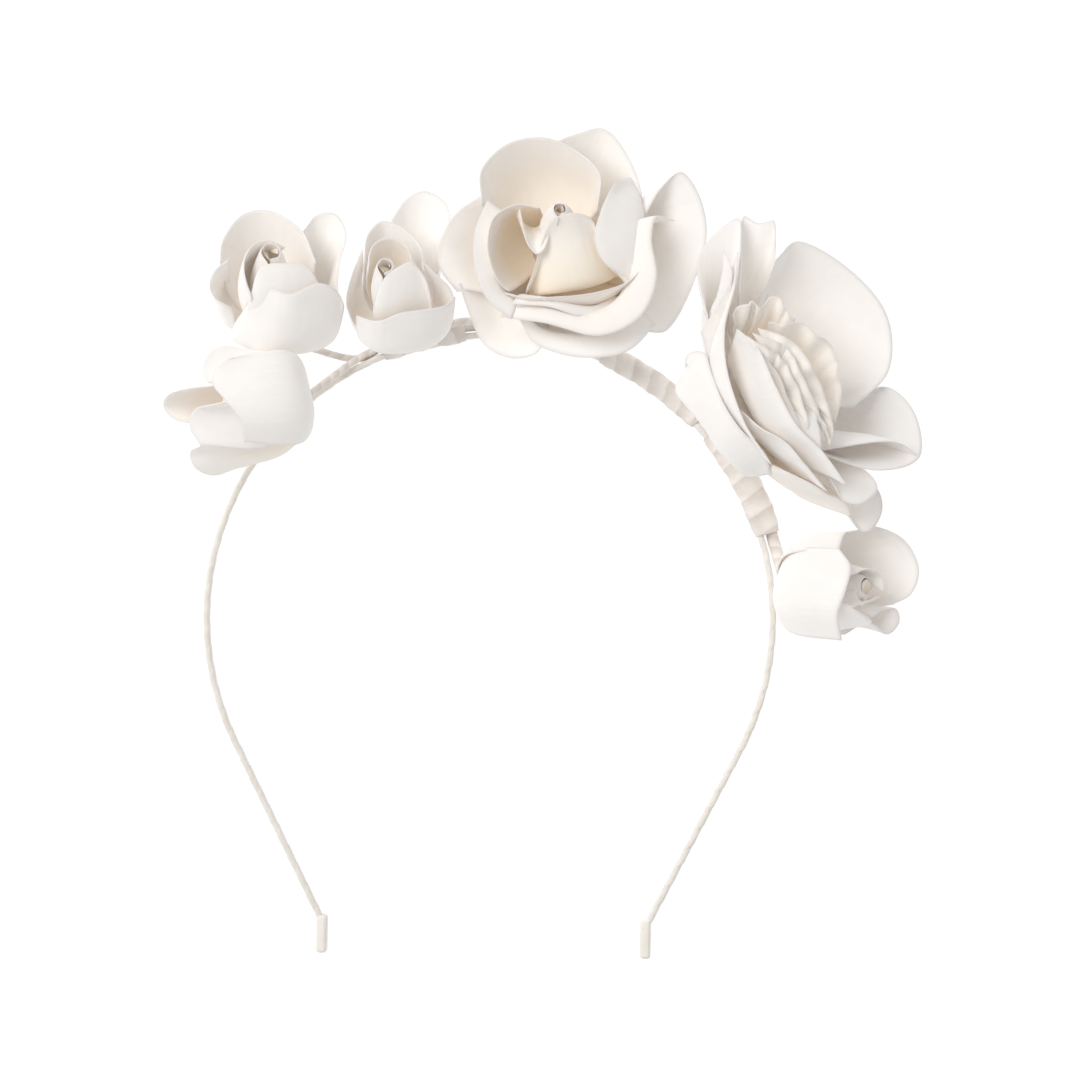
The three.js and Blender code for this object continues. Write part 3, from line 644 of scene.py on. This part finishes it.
def node(tree, kind, **settings):
    made = tree.nodes.new(kind)
    for key, value in settings.items():
        setattr(made, key, value)
    return made


def cloth_place(tree):
    """Place on the cloth, in millimetres along and across it."""
    return node(tree, "ShaderNodeUVMap", uv_map="cloth").outputs["UV"]


def marked(tree, mark):
    """A mark of the mesh's points: depth, the amount of painted shade, or rim, the painted shade at the cut
    edge.
    """
    return node(tree, "ShaderNodeAttribute", attribute_name=mark).outputs["Fac"]


def noise(tree, coordinates, scale, detail=3.0):
    made = node(tree, "ShaderNodeTexNoise")
    made.inputs["Scale"].default_value = scale
    made.inputs["Detail"].default_value = detail
    tree.links.new(coordinates, made.inputs["Vector"])
    return made.outputs["Fac"]


def ramp(tree, factor, stops):
    made = node(tree, "ShaderNodeValToRGB")
    elements = made.color_ramp.elements
    while len(elements) < len(stops):
        elements.new(0.5)
    for element, (position, colour) in zip(elements, stops):
        element.position = position
        element.color = (*colour, 1)
    tree.links.new(factor, made.inputs["Fac"])
    return made.outputs["Color"]


def mottled(tree, stops, scale, detail=3.0):
    """Soft patches of colour over the object."""
    place = node(tree, "ShaderNodeTexCoord").outputs["Object"]
    return ramp(tree, noise(tree, place, scale, detail), stops)


def multiplied(tree, first, second):
    made = node(tree, "ShaderNodeMix", data_type="RGBA", blend_type="MULTIPLY")
    made.inputs["Factor"].default_value = 1.0
    tree.links.new(first, made.inputs[MIX_FIRST])
    tree.links.new(second, made.inputs[MIX_SECOND])
    return made.outputs[MIX_RESULT]


def added(tree, first, second, share):
    """The first value with a share of the second."""
    made = node(tree, "ShaderNodeMath", operation="MULTIPLY_ADD")
    made.inputs[1].default_value = share
    tree.links.new(second, made.inputs[0])
    tree.links.new(first, made.inputs[2])
    return made.outputs[0]


def stretched(tree, coordinates, scale):
    made = node(tree, "ShaderNodeMapping")
    made.inputs["Scale"].default_value = scale
    tree.links.new(coordinates, made.inputs["Vector"])
    return made.outputs["Vector"]


def weave(tree, coordinates, threads):
    """Height of a plain weave, with so many threads per unit of the coordinates."""
    heights = []
    for direction in ("X", "Y"):
        wave = node(tree, "ShaderNodeTexWave", bands_direction=direction)
        wave.inputs["Scale"].default_value = threads / 2
        wave.inputs["Distortion"].default_value = WEAVE_DISTORTION
        tree.links.new(coordinates, wave.inputs["Vector"])
        heights.append(wave.outputs["Fac"])
    product = node(tree, "ShaderNodeMath", operation="MULTIPLY")
    tree.links.new(heights[0], product.inputs[0])
    tree.links.new(heights[1], product.inputs[1])
    return product.outputs[0]


def bumped(tree, principled, height, distance, strength):
    made = node(tree, "ShaderNodeBump")
    made.inputs["Distance"].default_value = distance
    made.inputs["Strength"].default_value = strength
    tree.links.new(height, made.inputs["Height"])
    tree.links.new(made.outputs["Normal"], principled.inputs["Normal"])


def petal_material():
    """Stiffened ivory cloth with a fine weave and creases, painted warm shade toward the foot and painted
    shade along the cut edge.
    """
    material, tree, principled = shader("petal_cloth")
    cloth = cloth_place(tree)
    # Painted warm shade, more of it toward the foot
    dye_and_shade = ramp(tree, marked(tree, "depth"), PETAL_DYE_AND_WARM_SHADE)
    mottle = mottled(tree, PETAL_MOTTLE, scale=160.0, detail=4.0)
    # Painted shade along the cut edge
    edge_shade = ramp(tree, marked(tree, "rim"), PETAL_EDGE_SHADE)
    colour = multiplied(tree, multiplied(tree, dye_and_shade, mottle), edge_shade)
    tree.links.new(colour, principled.inputs["Base Color"])
    set_values(
        principled, Roughness=0.88, Specular_IOR_Level=0.2, Sheen_Weight=0.25, Sheen_Roughness=0.6,
        Subsurface_Weight=0.2, Subsurface_Radius=(1.0, 0.85, 0.68), Subsurface_Scale=0.002,
    )
    creases = noise(tree, stretched(tree, cloth, scale=(0.55, 0.07, 1.0)), scale=1.0)
    height = added(tree, creases, weave(tree, cloth, threads=2.4), share=0.12)
    bumped(tree, principled, height, distance=0.00035, strength=0.5)
    return material


def ribbon_material():
    """Cream satin ribbon with a fine weave."""
    material, tree, principled = shader("band_ribbon")
    colour = mottled(tree, RIBBON_DYE, scale=220.0)
    tree.links.new(colour, principled.inputs["Base Color"])
    set_values(principled, Roughness=0.55, Sheen_Weight=0.3, Sheen_Roughness=0.4)
    threads = weave(tree, cloth_place(tree), threads=3.2)
    bumped(tree, principled, threads, distance=0.0001, strength=0.5)
    return material


def tape_material():
    """Pale crepe tape, finely wrinkled across its length, with painted shade in its folds."""
    material, tree, principled = shader("floral_tape")
    # Painted shade in the folds
    dye_and_shade = ramp(tree, marked(tree, "depth"), TAPE_DYE_AND_FOLD_SHADE)
    mottle = mottled(tree, TAPE_MOTTLE, scale=260.0, detail=4.0)
    tree.links.new(multiplied(tree, dye_and_shade, mottle), principled.inputs["Base Color"])
    set_values(principled, Roughness=0.8, Sheen_Weight=0.15)
    wrinkles = noise(tree, stretched(tree, cloth_place(tree), scale=(2.5, 0.35, 1.0)), scale=1.0)
    bumped(tree, principled, wrinkles, distance=0.0002, strength=0.45)
    return material


def floor_material():
    """White paper, with a little light of its own to stay white under the object."""
    material, tree, principled = shader("floor")
    colour = mottled(tree, FLOOR_PAPER, scale=12.0)
    tree.links.new(colour, principled.inputs["Base Color"])
    set_values(principled, Roughness=0.95, Emission_Color=(1, 1, 1, 1), Emission_Strength=0.86)
    return material


# Flowers

def flower_place(flower):
    return np.array([flower["x"], flower["y"], flower["z"]])


def flower_frame(flower):
    """The flower's own x, y and axis in the object's frame, as the columns of a matrix."""
    lean, toward = math.radians(flower["lean"]), math.radians(flower["toward"])
    axis = Vector((math.sin(lean) * math.cos(toward), math.sin(lean) * math.sin(toward), math.cos(lean)))
    return np.array(Vector((0, 0, 1)).rotation_difference(axis).to_matrix())


def laid_out(point):
    """A point of the layout in the object's frame, in millimetres."""
    across, down, height = point
    right, up = across - LAYOUT_ORIGIN[0], LAYOUT_ORIGIN[1] - down
    turn = -CAMERA_ROLL
    flat = LAYOUT_STEP * np.array([
        right * math.cos(turn) + up * math.sin(turn),
        up * math.cos(turn) - right * math.sin(turn),
    ])
    centre = np.array(CAMERA_CENTRE)
    near = centre + (flat - centre) * (1 - height / CAMERA_DISTANCE)
    return np.array([*near, height])


def petal_surface(petal, flower, rim_points, along):
    """Middle surface of a petal in the object's frame, with a row of points for each value of along."""
    frame_of = flower_frame(flower)
    axis = frame_of[:, 2]
    count = len(rim_points)
    turn = np.radians(petal["facing"] + petal["spread"] * np.linspace(-1, 1, count))
    outward = np.outer(np.cos(turn), frame_of[:, 0]) + np.outer(np.sin(turn), frame_of[:, 1])
    wind = WIND if petal["spread"] > WOUND_SPREAD else 0
    foot_radius = petal["base"] + wind * np.linspace(-0.5, 0.5, count)
    on_receptacle = PETAL_GAP + (flower["receptacle"] - petal["base"]) * RECEPTACLE_SLOPE
    level = on_receptacle if petal["foot"] is None else petal["foot"]
    foot = flower_place(flower) + axis * level + outward * foot_radius[:, None]
    ray = rim_points - foot
    lengthwise = ray @ axis
    spread_out = np.sum(ray * outward, axis=1)
    back = outward * lengthwise[:, None] - axis * spread_out[:, None]
    back /= np.hypot(lengthwise, spread_out)[:, None]
    reach = np.linalg.norm(ray, axis=1)
    v = along[:, None, None]
    bow = petal["cup"] * np.sin(math.pi * v) + petal["flare"] * np.sin(2 * math.pi * v)
    return foot + ray * v + back * reach[:, None] * bow


def fold_heights(petal, across, along, chance):
    """Heights of the waves along the rim and the fine folds, by the place across and along the petal."""
    phases = [chance.uniform(0, 2 * math.pi) for _ in range(FOLD_PHASES)]
    crowding = 1 + CROWDING * smooth_step(CROWDED_FROM, CROWDED_TO, petal["crumple"])
    long, short, fine = [crowding * chance.uniform(low, high) * across for low, high in FOLD_TURNS]
    waves = LONG_WAVE * np.sin(long + phases[0]) + SHORT_WAVE * np.sin(short + phases[1])
    drift = FINE_DRIFT_ALONG * np.sin(FINE_DRIFT_TURN * along + phases[3])
    drift += FINE_DRIFT_ACROSS * np.sin(long + phases[4])
    patches = 1 - FINE_PATCHES + FINE_PATCHES * np.sin(short + phases[5])
    folds = np.sin(fine + phases[2] + drift) * patches
    swell = np.sin(math.pi * along) * np.sin(SWELL_TURN * across + phases[4])
    crease = along * np.sin(CREASE_TURN * across + phases[5] + CREASE_DRIFT * along)
    ruffles = along ** 3 * waves + SWELL_HEIGHT * swell + CREASE_HEIGHT * crease
    return petal["ruffle"] * ruffles + petal["crumple"] * along * folds


def normals_of(points):
    """Unit normals of a grid of points."""
    across = np.gradient(points, axis=1)
    along = np.gradient(points, axis=0)
    normals = np.cross(across, along)
    return normals / np.maximum(np.linalg.norm(normals, axis=-1, keepdims=True), TINY)


def border(rows, columns):
    """Indices round the edge of a grid, in order."""
    first = list(range(columns))
    right = [r * columns + columns - 1 for r in range(1, rows)]
    last = [(rows - 1) * columns + c for c in range(columns - 2, -1, -1)]
    left = [r * columns for r in range(rows - 2, 0, -1)]
    return first + right + last + left


def thickened(points, thick):
    """Points and faces of a wall round a grid of points: its outer side, its inner side and its edge."""
    rows, columns = thick.shape
    normals = normals_of(points)
    sides = [points + normals * thick[..., None] * side / 2 for side in (1, -1)]
    count = rows * columns
    faces = grid_faces(rows, columns) + grid_faces(rows, columns, count, flip=True)
    edge_line = border(rows, columns)
    for a, b in zip(edge_line, edge_line[1:] + edge_line[:1]):
        faces.append((b, a, a + count, b + count))
    return np.vstack([side.reshape(-1, 3) for side in sides]), faces


def make_petal(flower, petal, material):
    name = f"{flower['name']}_{petal['name']}"
    rim = curve_points([laid_out(point) for point in petal["rim"]], PETAL_ACROSS)
    steps = np.linspace(0, 1, PETAL_ALONG)
    points = petal_surface(petal, flower, rim, steps)
    along, across = np.meshgrid(steps, np.linspace(0, 1, PETAL_ACROSS), indexing="ij")
    heights = fold_heights(petal, across, along, random.Random(name))
    points = points + normals_of(points) * heights[..., None]
    lengths = np.cumsum(np.linalg.norm(np.diff(points, axis=0, prepend=points[:1]), axis=-1), axis=0)
    widths = np.cumsum(np.linalg.norm(np.diff(points, axis=1, prepend=points[:, :1]), axis=-1), axis=1)
    from_edge = np.minimum(lengths[-1:] - lengths, np.minimum(widths, widths[:, -1:] - widths))
    thick = PETAL_EDGE + (PETAL_THICKNESS - PETAL_EDGE) * smooth_step(0, PETAL_EDGE_FADE, from_edge)
    shape, faces = thickened(points, thick)
    flat = np.stack([widths - widths[:, -1:] / 2, lengths], axis=-1)
    cloth = np.tile(flat.reshape(-1, 2), (2, 1))
    # Painted warm shade: most at the foot, less on the outer side, scaled by the petal's share
    warm_shade_share = petal["warm_shade"] * (1 - WARM_SHADE_FADE * smooth_step(WARM_SHADE_FADE_FROM, WARM_SHADE_FADE_TO, along)).ravel()
    depth = np.clip(np.concatenate([OUTER_WARM_SHADE * warm_shade_share, warm_shade_share]), 0, 1)
    # Where the painted edge shade lies, within this width of the edge
    edge_shade_mark = np.tile(1 - smooth_step(0, EDGE_SHADE_WIDTH, from_edge).ravel(), 2)
    thing = new_object(f"petal_{name}", shape, faces, [material], cloth, depth, rim=edge_shade_mark)
    nodes = [] if name in SCENE_PETALS else [name]
    dress(thing, "petal_cloth", *nodes)


# Band, stems and tape

def band_half_point(distance):
    """A point of the band's right half and its outward direction, by the distance from the crown."""
    arc = (math.pi / 2 + LEG_TURN) * ARCH_RADIUS
    if distance <= arc:
        angle = math.pi / 2 - distance / ARCH_RADIUS
        outward = (math.cos(angle), math.sin(angle))
        return ARCH_RADIUS * outward[0], ARCH_RADIUS * outward[1], outward
    bend = LEG_TURN * TIP_BEND_RADIUS
    on_leg = min(distance - arc, LEG_LENGTH)
    on_bend = min(max(distance - arc - LEG_LENGTH, 0), bend)
    on_tip = max(distance - arc - LEG_LENGTH - bend, 0)
    turn = LEG_TURN - on_bend / TIP_BEND_RADIUS
    x = ARCH_RADIUS * math.cos(LEG_TURN) - on_leg * math.sin(LEG_TURN)
    y = -ARCH_RADIUS * math.sin(LEG_TURN) - on_leg * math.cos(LEG_TURN)
    x -= TIP_BEND_RADIUS * (math.cos(turn) - math.cos(LEG_TURN))
    y -= TIP_BEND_RADIUS * (math.sin(LEG_TURN) - math.sin(turn))
    return x, y - on_tip, (math.cos(turn), -math.sin(turn))


def rounded_section(half_x, low_y, high_y, corner, corner_steps, side_steps):
    """Points round a rectangle with round corners, anticlockwise, and their outward directions."""
    centres = (
        (half_x - corner, low_y + corner, -math.pi / 2), (half_x - corner, high_y - corner, 0),
        (corner - half_x, high_y - corner, math.pi / 2), (corner - half_x, low_y + corner, math.pi),
    )
    points, outward = [], []
    for x, y, start in centres:
        for step in range(corner_steps + 1):
            angle = start + math.pi / 2 * step / corner_steps
            points.append((x + corner * math.cos(angle), y + corner * math.sin(angle)))
            outward.append((math.cos(angle), math.sin(angle)))
    filled, directions = [], []
    for i, point in enumerate(points):
        following = points[(i + 1) % len(points)]
        filled.append(point)
        directions.append(outward[i])
        if (i + 1) % (corner_steps + 1) == 0:
            for step in range(1, side_steps):
                share = step / side_steps
                filled.append(tuple(point[k] + (following[k] - point[k]) * share for k in (0, 1)))
                directions.append(outward[i])
    return np.array(filled), np.array(directions)


def lap(turns):
    """Height of a wound strip over the one below: it rises slowly and drops at each edge."""
    phase = np.mod(turns, 1)
    return phase * (1 - smooth_step(LAP_DROP_FROM, 1, phase))


def cloth_map(lengths, around):
    """Places on the cloth, by the length along rings and the width round them."""
    return np.stack(np.meshgrid(lengths, around, indexing="ij"), axis=-1)


def swept(line, outward, section, directions, pitch, ridge, inset=0.0):
    """Rings of a section along a level line, with the laps of a wound strip and an inset cut into it."""
    line, outward = np.asarray(line), np.asarray(outward)
    lengths = lengths_along(line)
    around = np.arange(len(section)) / len(section)
    turns = lengths[:, None] / pitch + around
    cut = ridge * (1 - lap(turns))
    depth = cut + np.reshape(inset, (-1, 1))
    across = section[:, 0] - directions[:, 0] * depth
    out = section[:, 1] - directions[:, 1] * depth
    rings = line[:, None, :] + outward[:, None, :] * out[..., None]
    rings[..., 2] += across
    return rings, cloth_map(lengths, WRAP_CLOTH_WIDTH * around), cut / ridge


def sleeve_rings(tip_x, tip_y):
    """The thicker end of the band: a rounded box with softened ends."""
    rings = []
    for share in np.linspace(0, 1, SLEEVE_STEPS + 1):
        from_end = min(share, 1 - share) * SLEEVE_LENGTH
        inset = SLEEVE_ROUNDING * (1 - math.sqrt(1 - (1 - min(from_end / SLEEVE_ROUNDING, 1)) ** 2))
        half_width = TIP_WIDTH / 2 - inset
        half_thickness = TIP_THICKNESS / 2 - inset * SLEEVE_FLAT_SHARE
        corner = SLEEVE_CORNER - inset * SLEEVE_CORNER_SHARE
        section, _ = rounded_section(
            half_thickness, -half_width, half_width, corner, corner_steps=4, side_steps=4,
        )
        y = np.full(len(section), tip_y - TIP_OVERHANG + share * SLEEVE_LENGTH)
        rings.append(np.stack([tip_x - section[:, 0], y, BAND_HEIGHT + section[:, 1]], axis=-1))
    return np.array(rings)


def make_band(material):
    half = (math.pi / 2 + LEG_TURN) * ARCH_RADIUS + LEG_LENGTH + LEG_TURN * TIP_BEND_RADIUS + TIP_LENGTH
    reach = half - BAND_END_SETBACK
    line, outward = [], []
    for distance in np.linspace(-reach, reach, int(2 * half / BAND_STEP)):
        x, y, (out_x, out_y) = band_half_point(abs(distance))
        sign = math.copysign(1, distance)
        line.append((sign * x, y, BAND_HEIGHT))
        outward.append((sign * out_x, out_y, 0))
    half_thickness = BAND_THICKNESS / 2
    section, directions = rounded_section(
        BAND_WIDTH / 2, -half_thickness, half_thickness, BAND_EDGE_RADIUS, corner_steps=4, side_steps=3,
    )
    rings, uv, _ = swept(line, outward, section, directions, RIBBON_PITCH, RIBBON_RIDGE)
    parts = [tube(rings)]
    cloth = [uv.reshape(-1, 2), np.zeros((2, 2))]
    tip_x, tip_y, _ = band_half_point(half)
    for side in (-1, 1):
        sleeve = tube(sleeve_rings(side * tip_x, tip_y))
        parts.append(sleeve)
        cloth.append(sleeve[0][:, 1:])
    points, faces, _ = merged(parts)
    thing = new_object("band_wrapped", points, faces, [material], np.vstack(cloth))
    dress(thing, "band_ribbon", "band")


def ring_points(radius, start, end, height, count):
    angles = np.radians(np.linspace(start, end, count))
    return np.stack([np.cos(angles) * radius, np.sin(angles) * radius, np.full(count, height)], axis=-1)


def wound_tube(line, radius):
    """Rings of a round wire wound with a strip of tape."""
    tangents = np.gradient(line, axis=0)
    tangents /= np.linalg.norm(tangents, axis=1, keepdims=True)
    lengths = lengths_along(line)
    first = np.cross(tangents, (0, 0, 1))
    first /= np.linalg.norm(first, axis=1, keepdims=True)
    second = np.cross(tangents, first)
    angles = 2 * math.pi * np.arange(STEM_SIDES) / STEM_SIDES
    turns = lengths[:, None] / STEM_PITCH + angles / (2 * math.pi)
    cut = 1 - lap(turns)
    size = radius - STEM_RIDGE * cut
    spokes = np.cos(angles)[:, None] * first[:, None, :] + np.sin(angles)[:, None] * second[:, None, :]
    rings = line[:, None, :] + size[..., None] * spokes
    return rings, cloth_map(lengths, radius * angles), cut


def receptacle(flower, under, wire_radius):
    """Points and faces of the solid cup that the petals are glued to."""
    widest = flower["receptacle"]
    tip_height = (widest - RECEPTACLE_TIP) * RECEPTACLE_SLOPE
    profile = (
        (NEAR_AXIS, -under), (wire_radius + STEM_COLLAR, -under),
        (widest * RECEPTACLE_SWELL_RADIUS, -under * RECEPTACLE_SWELL_DEPTH),
        (widest, -under * RECEPTACLE_EDGE_DEPTH), (widest, 0),
        (RECEPTACLE_TIP, tip_height), (NEAR_AXIS, tip_height),
    )
    rings = [ring_points(radius, 0, 360, height, RECEPTACLE_SIDES + 1)[:-1] for radius, height in profile]
    return tube(np.array(rings) @ flower_frame(flower).T + flower_place(flower))


def make_stem(row, flower, tape_look, petal_look):
    axis = flower_frame(flower)[:, 2]
    under = RECEPTACLE_DEPTH * flower["receptacle"]
    top = flower_place(flower)
    level = BAND_HEIGHT + row["level"]
    points = list(ring_points(row["ring"], row["start"], row["end"], level, STEM_RING_POINTS))
    if row["below"] > 0:
        points.append(top - axis * (under + row["below"]))
    points.append(top - axis * under / 2)
    rings, uv, cut = wound_tube(stepped_curve(points, STEM_STEP), row["radius"])
    cup = receptacle(flower, under, row["radius"])
    shape, faces, counts = merged([tube(rings), cup])
    cloth = np.vstack([uv.reshape(-1, 2), np.zeros((2, 2)), cup[0][:, :2]])
    # Painted shade in the laps of the tape, and painted warm shade on the receptacle
    depth = np.concatenate([cut.ravel(), np.zeros(2), np.full(len(cup[0]), RECEPTACLE_WARM_SHADE)])
    slots = [0] * counts[0] + [1] * counts[1]
    thing = new_object(f"wire_{flower['name']}", shape, faces, [tape_look, petal_look], cloth, depth, slots)
    dress(thing, "floral_tape", f"stem_{flower['name']}")


def tape_inset(length, count, chance):
    """How far a sleeve of tape draws in at each step along it: at its ends, less where it swells."""
    phases = [chance.uniform(0, 2 * math.pi) for _ in TAPE_WAVES]
    place = np.linspace(0, length, count)
    from_end = np.minimum(place, length - place)
    swell = TAPE_SWELL_MIDDLE
    for (height, turn), phase in zip(TAPE_WAVES, phases):
        swell = swell + height * np.sin(turn * place + phase)
    thin = TAPE_END_THIN * (1 - smooth_step(0, TAPE_END_FADE, from_end))
    return thin - TAPE_SWELL * swell * smooth_step(0, 2 * TAPE_END_FADE, from_end)


def make_tape(row, material):
    """A sleeve of wound tape round the band and the stems, flat where it lies on the floor."""
    half = BAND_WIDTH / 2 + TAPE_GAP
    inner = BAND_THICKNESS / 2 + TAPE_GAP
    wall = TAPE_THICKNESS
    steps = TAPE_CORNER_STEPS
    length = math.radians(abs(row["start"] - row["end"])) * ARCH_RADIUS
    count = max(TAPE_LEAST_STEPS, int(length / STEM_STEP))
    line = ring_points(ARCH_RADIUS, row["start"], row["end"], BAND_HEIGHT, count)
    outward = line * (1, 1, 0) / ARCH_RADIUS
    inset = tape_inset(length, count, random.Random(row["name"]))
    section, directions = rounded_section(
        half + wall, -inner - wall, row["reach"] + wall, TAPE_CORNER, steps, steps,
    )
    rings, uv, cut = swept(line, outward, section, directions, TAPE_PITCH, TAPE_RIDGE, inset)
    rings[..., 2] = np.maximum(rings[..., 2], 0)
    hole, hole_out = rounded_section(half, -inner, row["reach"], TAPE_CORNER - TAPE_GAP, steps, steps)
    hollow, hollow_uv, _ = swept(line, outward, hole, hole_out, TAPE_PITCH, NO_RIDGE)
    sides = len(section)
    total = count * sides
    tail = total - sides
    faces = grid_faces(count, sides, wrap=True, flip=True) + grid_faces(count, sides, total, wrap=True)
    for c in range(sides):
        d = (c + 1) % sides
        faces.append((c, d, total + d, total + c))
        faces.append((tail + d, tail + c, total + tail + c, total + tail + d))
    shape = np.vstack([rings.reshape(-1, 3), hollow.reshape(-1, 3)])
    cloth = np.vstack([uv.reshape(-1, 2), hollow_uv.reshape(-1, 2)])
    # Painted shade in the laps of the tape, and full painted shade inside the sleeve
    depth = np.concatenate([cut.ravel(), np.ones(total)])
    thing = new_object(f"wound_{row['name']}", shape, faces, [material], cloth, depth)
    dress(thing, "floral_tape", row["name"])


# Stage

def make_floor():
    signs = ((-1, -1), (1, -1), (1, 1), (-1, 1))
    corners = [(x * FLOOR_HALF, y * FLOOR_HALF, FLOOR_LEVEL) for x, y in signs]
    floor = new_object("floor", corners, [(0, 1, 2, 3)], [floor_material()])


def make_camera():
    data = bpy.data.cameras.new("camera")
    data.lens = CAMERA_LENS
    data.sensor_width = CAMERA_SENSOR
    data.clip_start, data.clip_end = CAMERA_CLIP
    camera = bpy.data.objects.new("camera", data)
    camera.location = (CAMERA_CENTRE[0] * MM, CAMERA_CENTRE[1] * MM, CAMERA_DISTANCE * MM)
    camera.rotation_euler = (0, 0, CAMERA_ROLL)
    bpy.context.scene.collection.objects.link(camera)
    bpy.context.scene.camera = camera


def make_light(row):
    data = bpy.data.lights.new(row["name"], "AREA")
    data.shape = "SQUARE"
    data.size = row["size"]
    data.energy = row["watts"]
    data.color = row["colour"]
    light = bpy.data.objects.new(row["name"], data)
    light.location = row["place"]
    light.rotation_euler = (Vector(LIGHT_AIM) - Vector(row["place"])).to_track_quat("-Z", "Y").to_euler()
    bpy.context.scene.collection.objects.link(light)


def make_room():
    """Soft light from all round, and plain colours."""
    world = bpy.data.worlds.new("studio")
    world.use_nodes = True
    background = world.node_tree.nodes["Background"]
    background.inputs["Color"].default_value = ROOM_COLOUR
    background.inputs["Strength"].default_value = ROOM_STRENGTH
    scene = bpy.context.scene
    scene.world = world
    scene.cycles.diffuse_bounces = LIGHT_BOUNCES
    scene.view_settings.view_transform = "Standard"
    scene.view_settings.look = "None"


make_camera()
make_room()
for light_row in LIGHTS:
    make_light(named(LIGHT_COLUMNS, light_row))
make_floor()

petal_look = petal_material()
tape_look = tape_material()
make_band(ribbon_material())
for tape_row in TAPES:
    make_tape(named(TAPE_COLUMNS, tape_row), tape_look)
flowers = {row[0]: named(FLOWER_COLUMNS, row) for row in FLOWERS}
for stem_row in STEMS:
    make_stem(named(STEM_COLUMNS, stem_row), flowers[stem_row[0]], tape_look, petal_look)
for flower_name, rows in PETALS.items():
    for petal_row in rows:
        make_petal(flowers[flower_name], named(PETAL_COLUMNS, petal_row), petal_look)
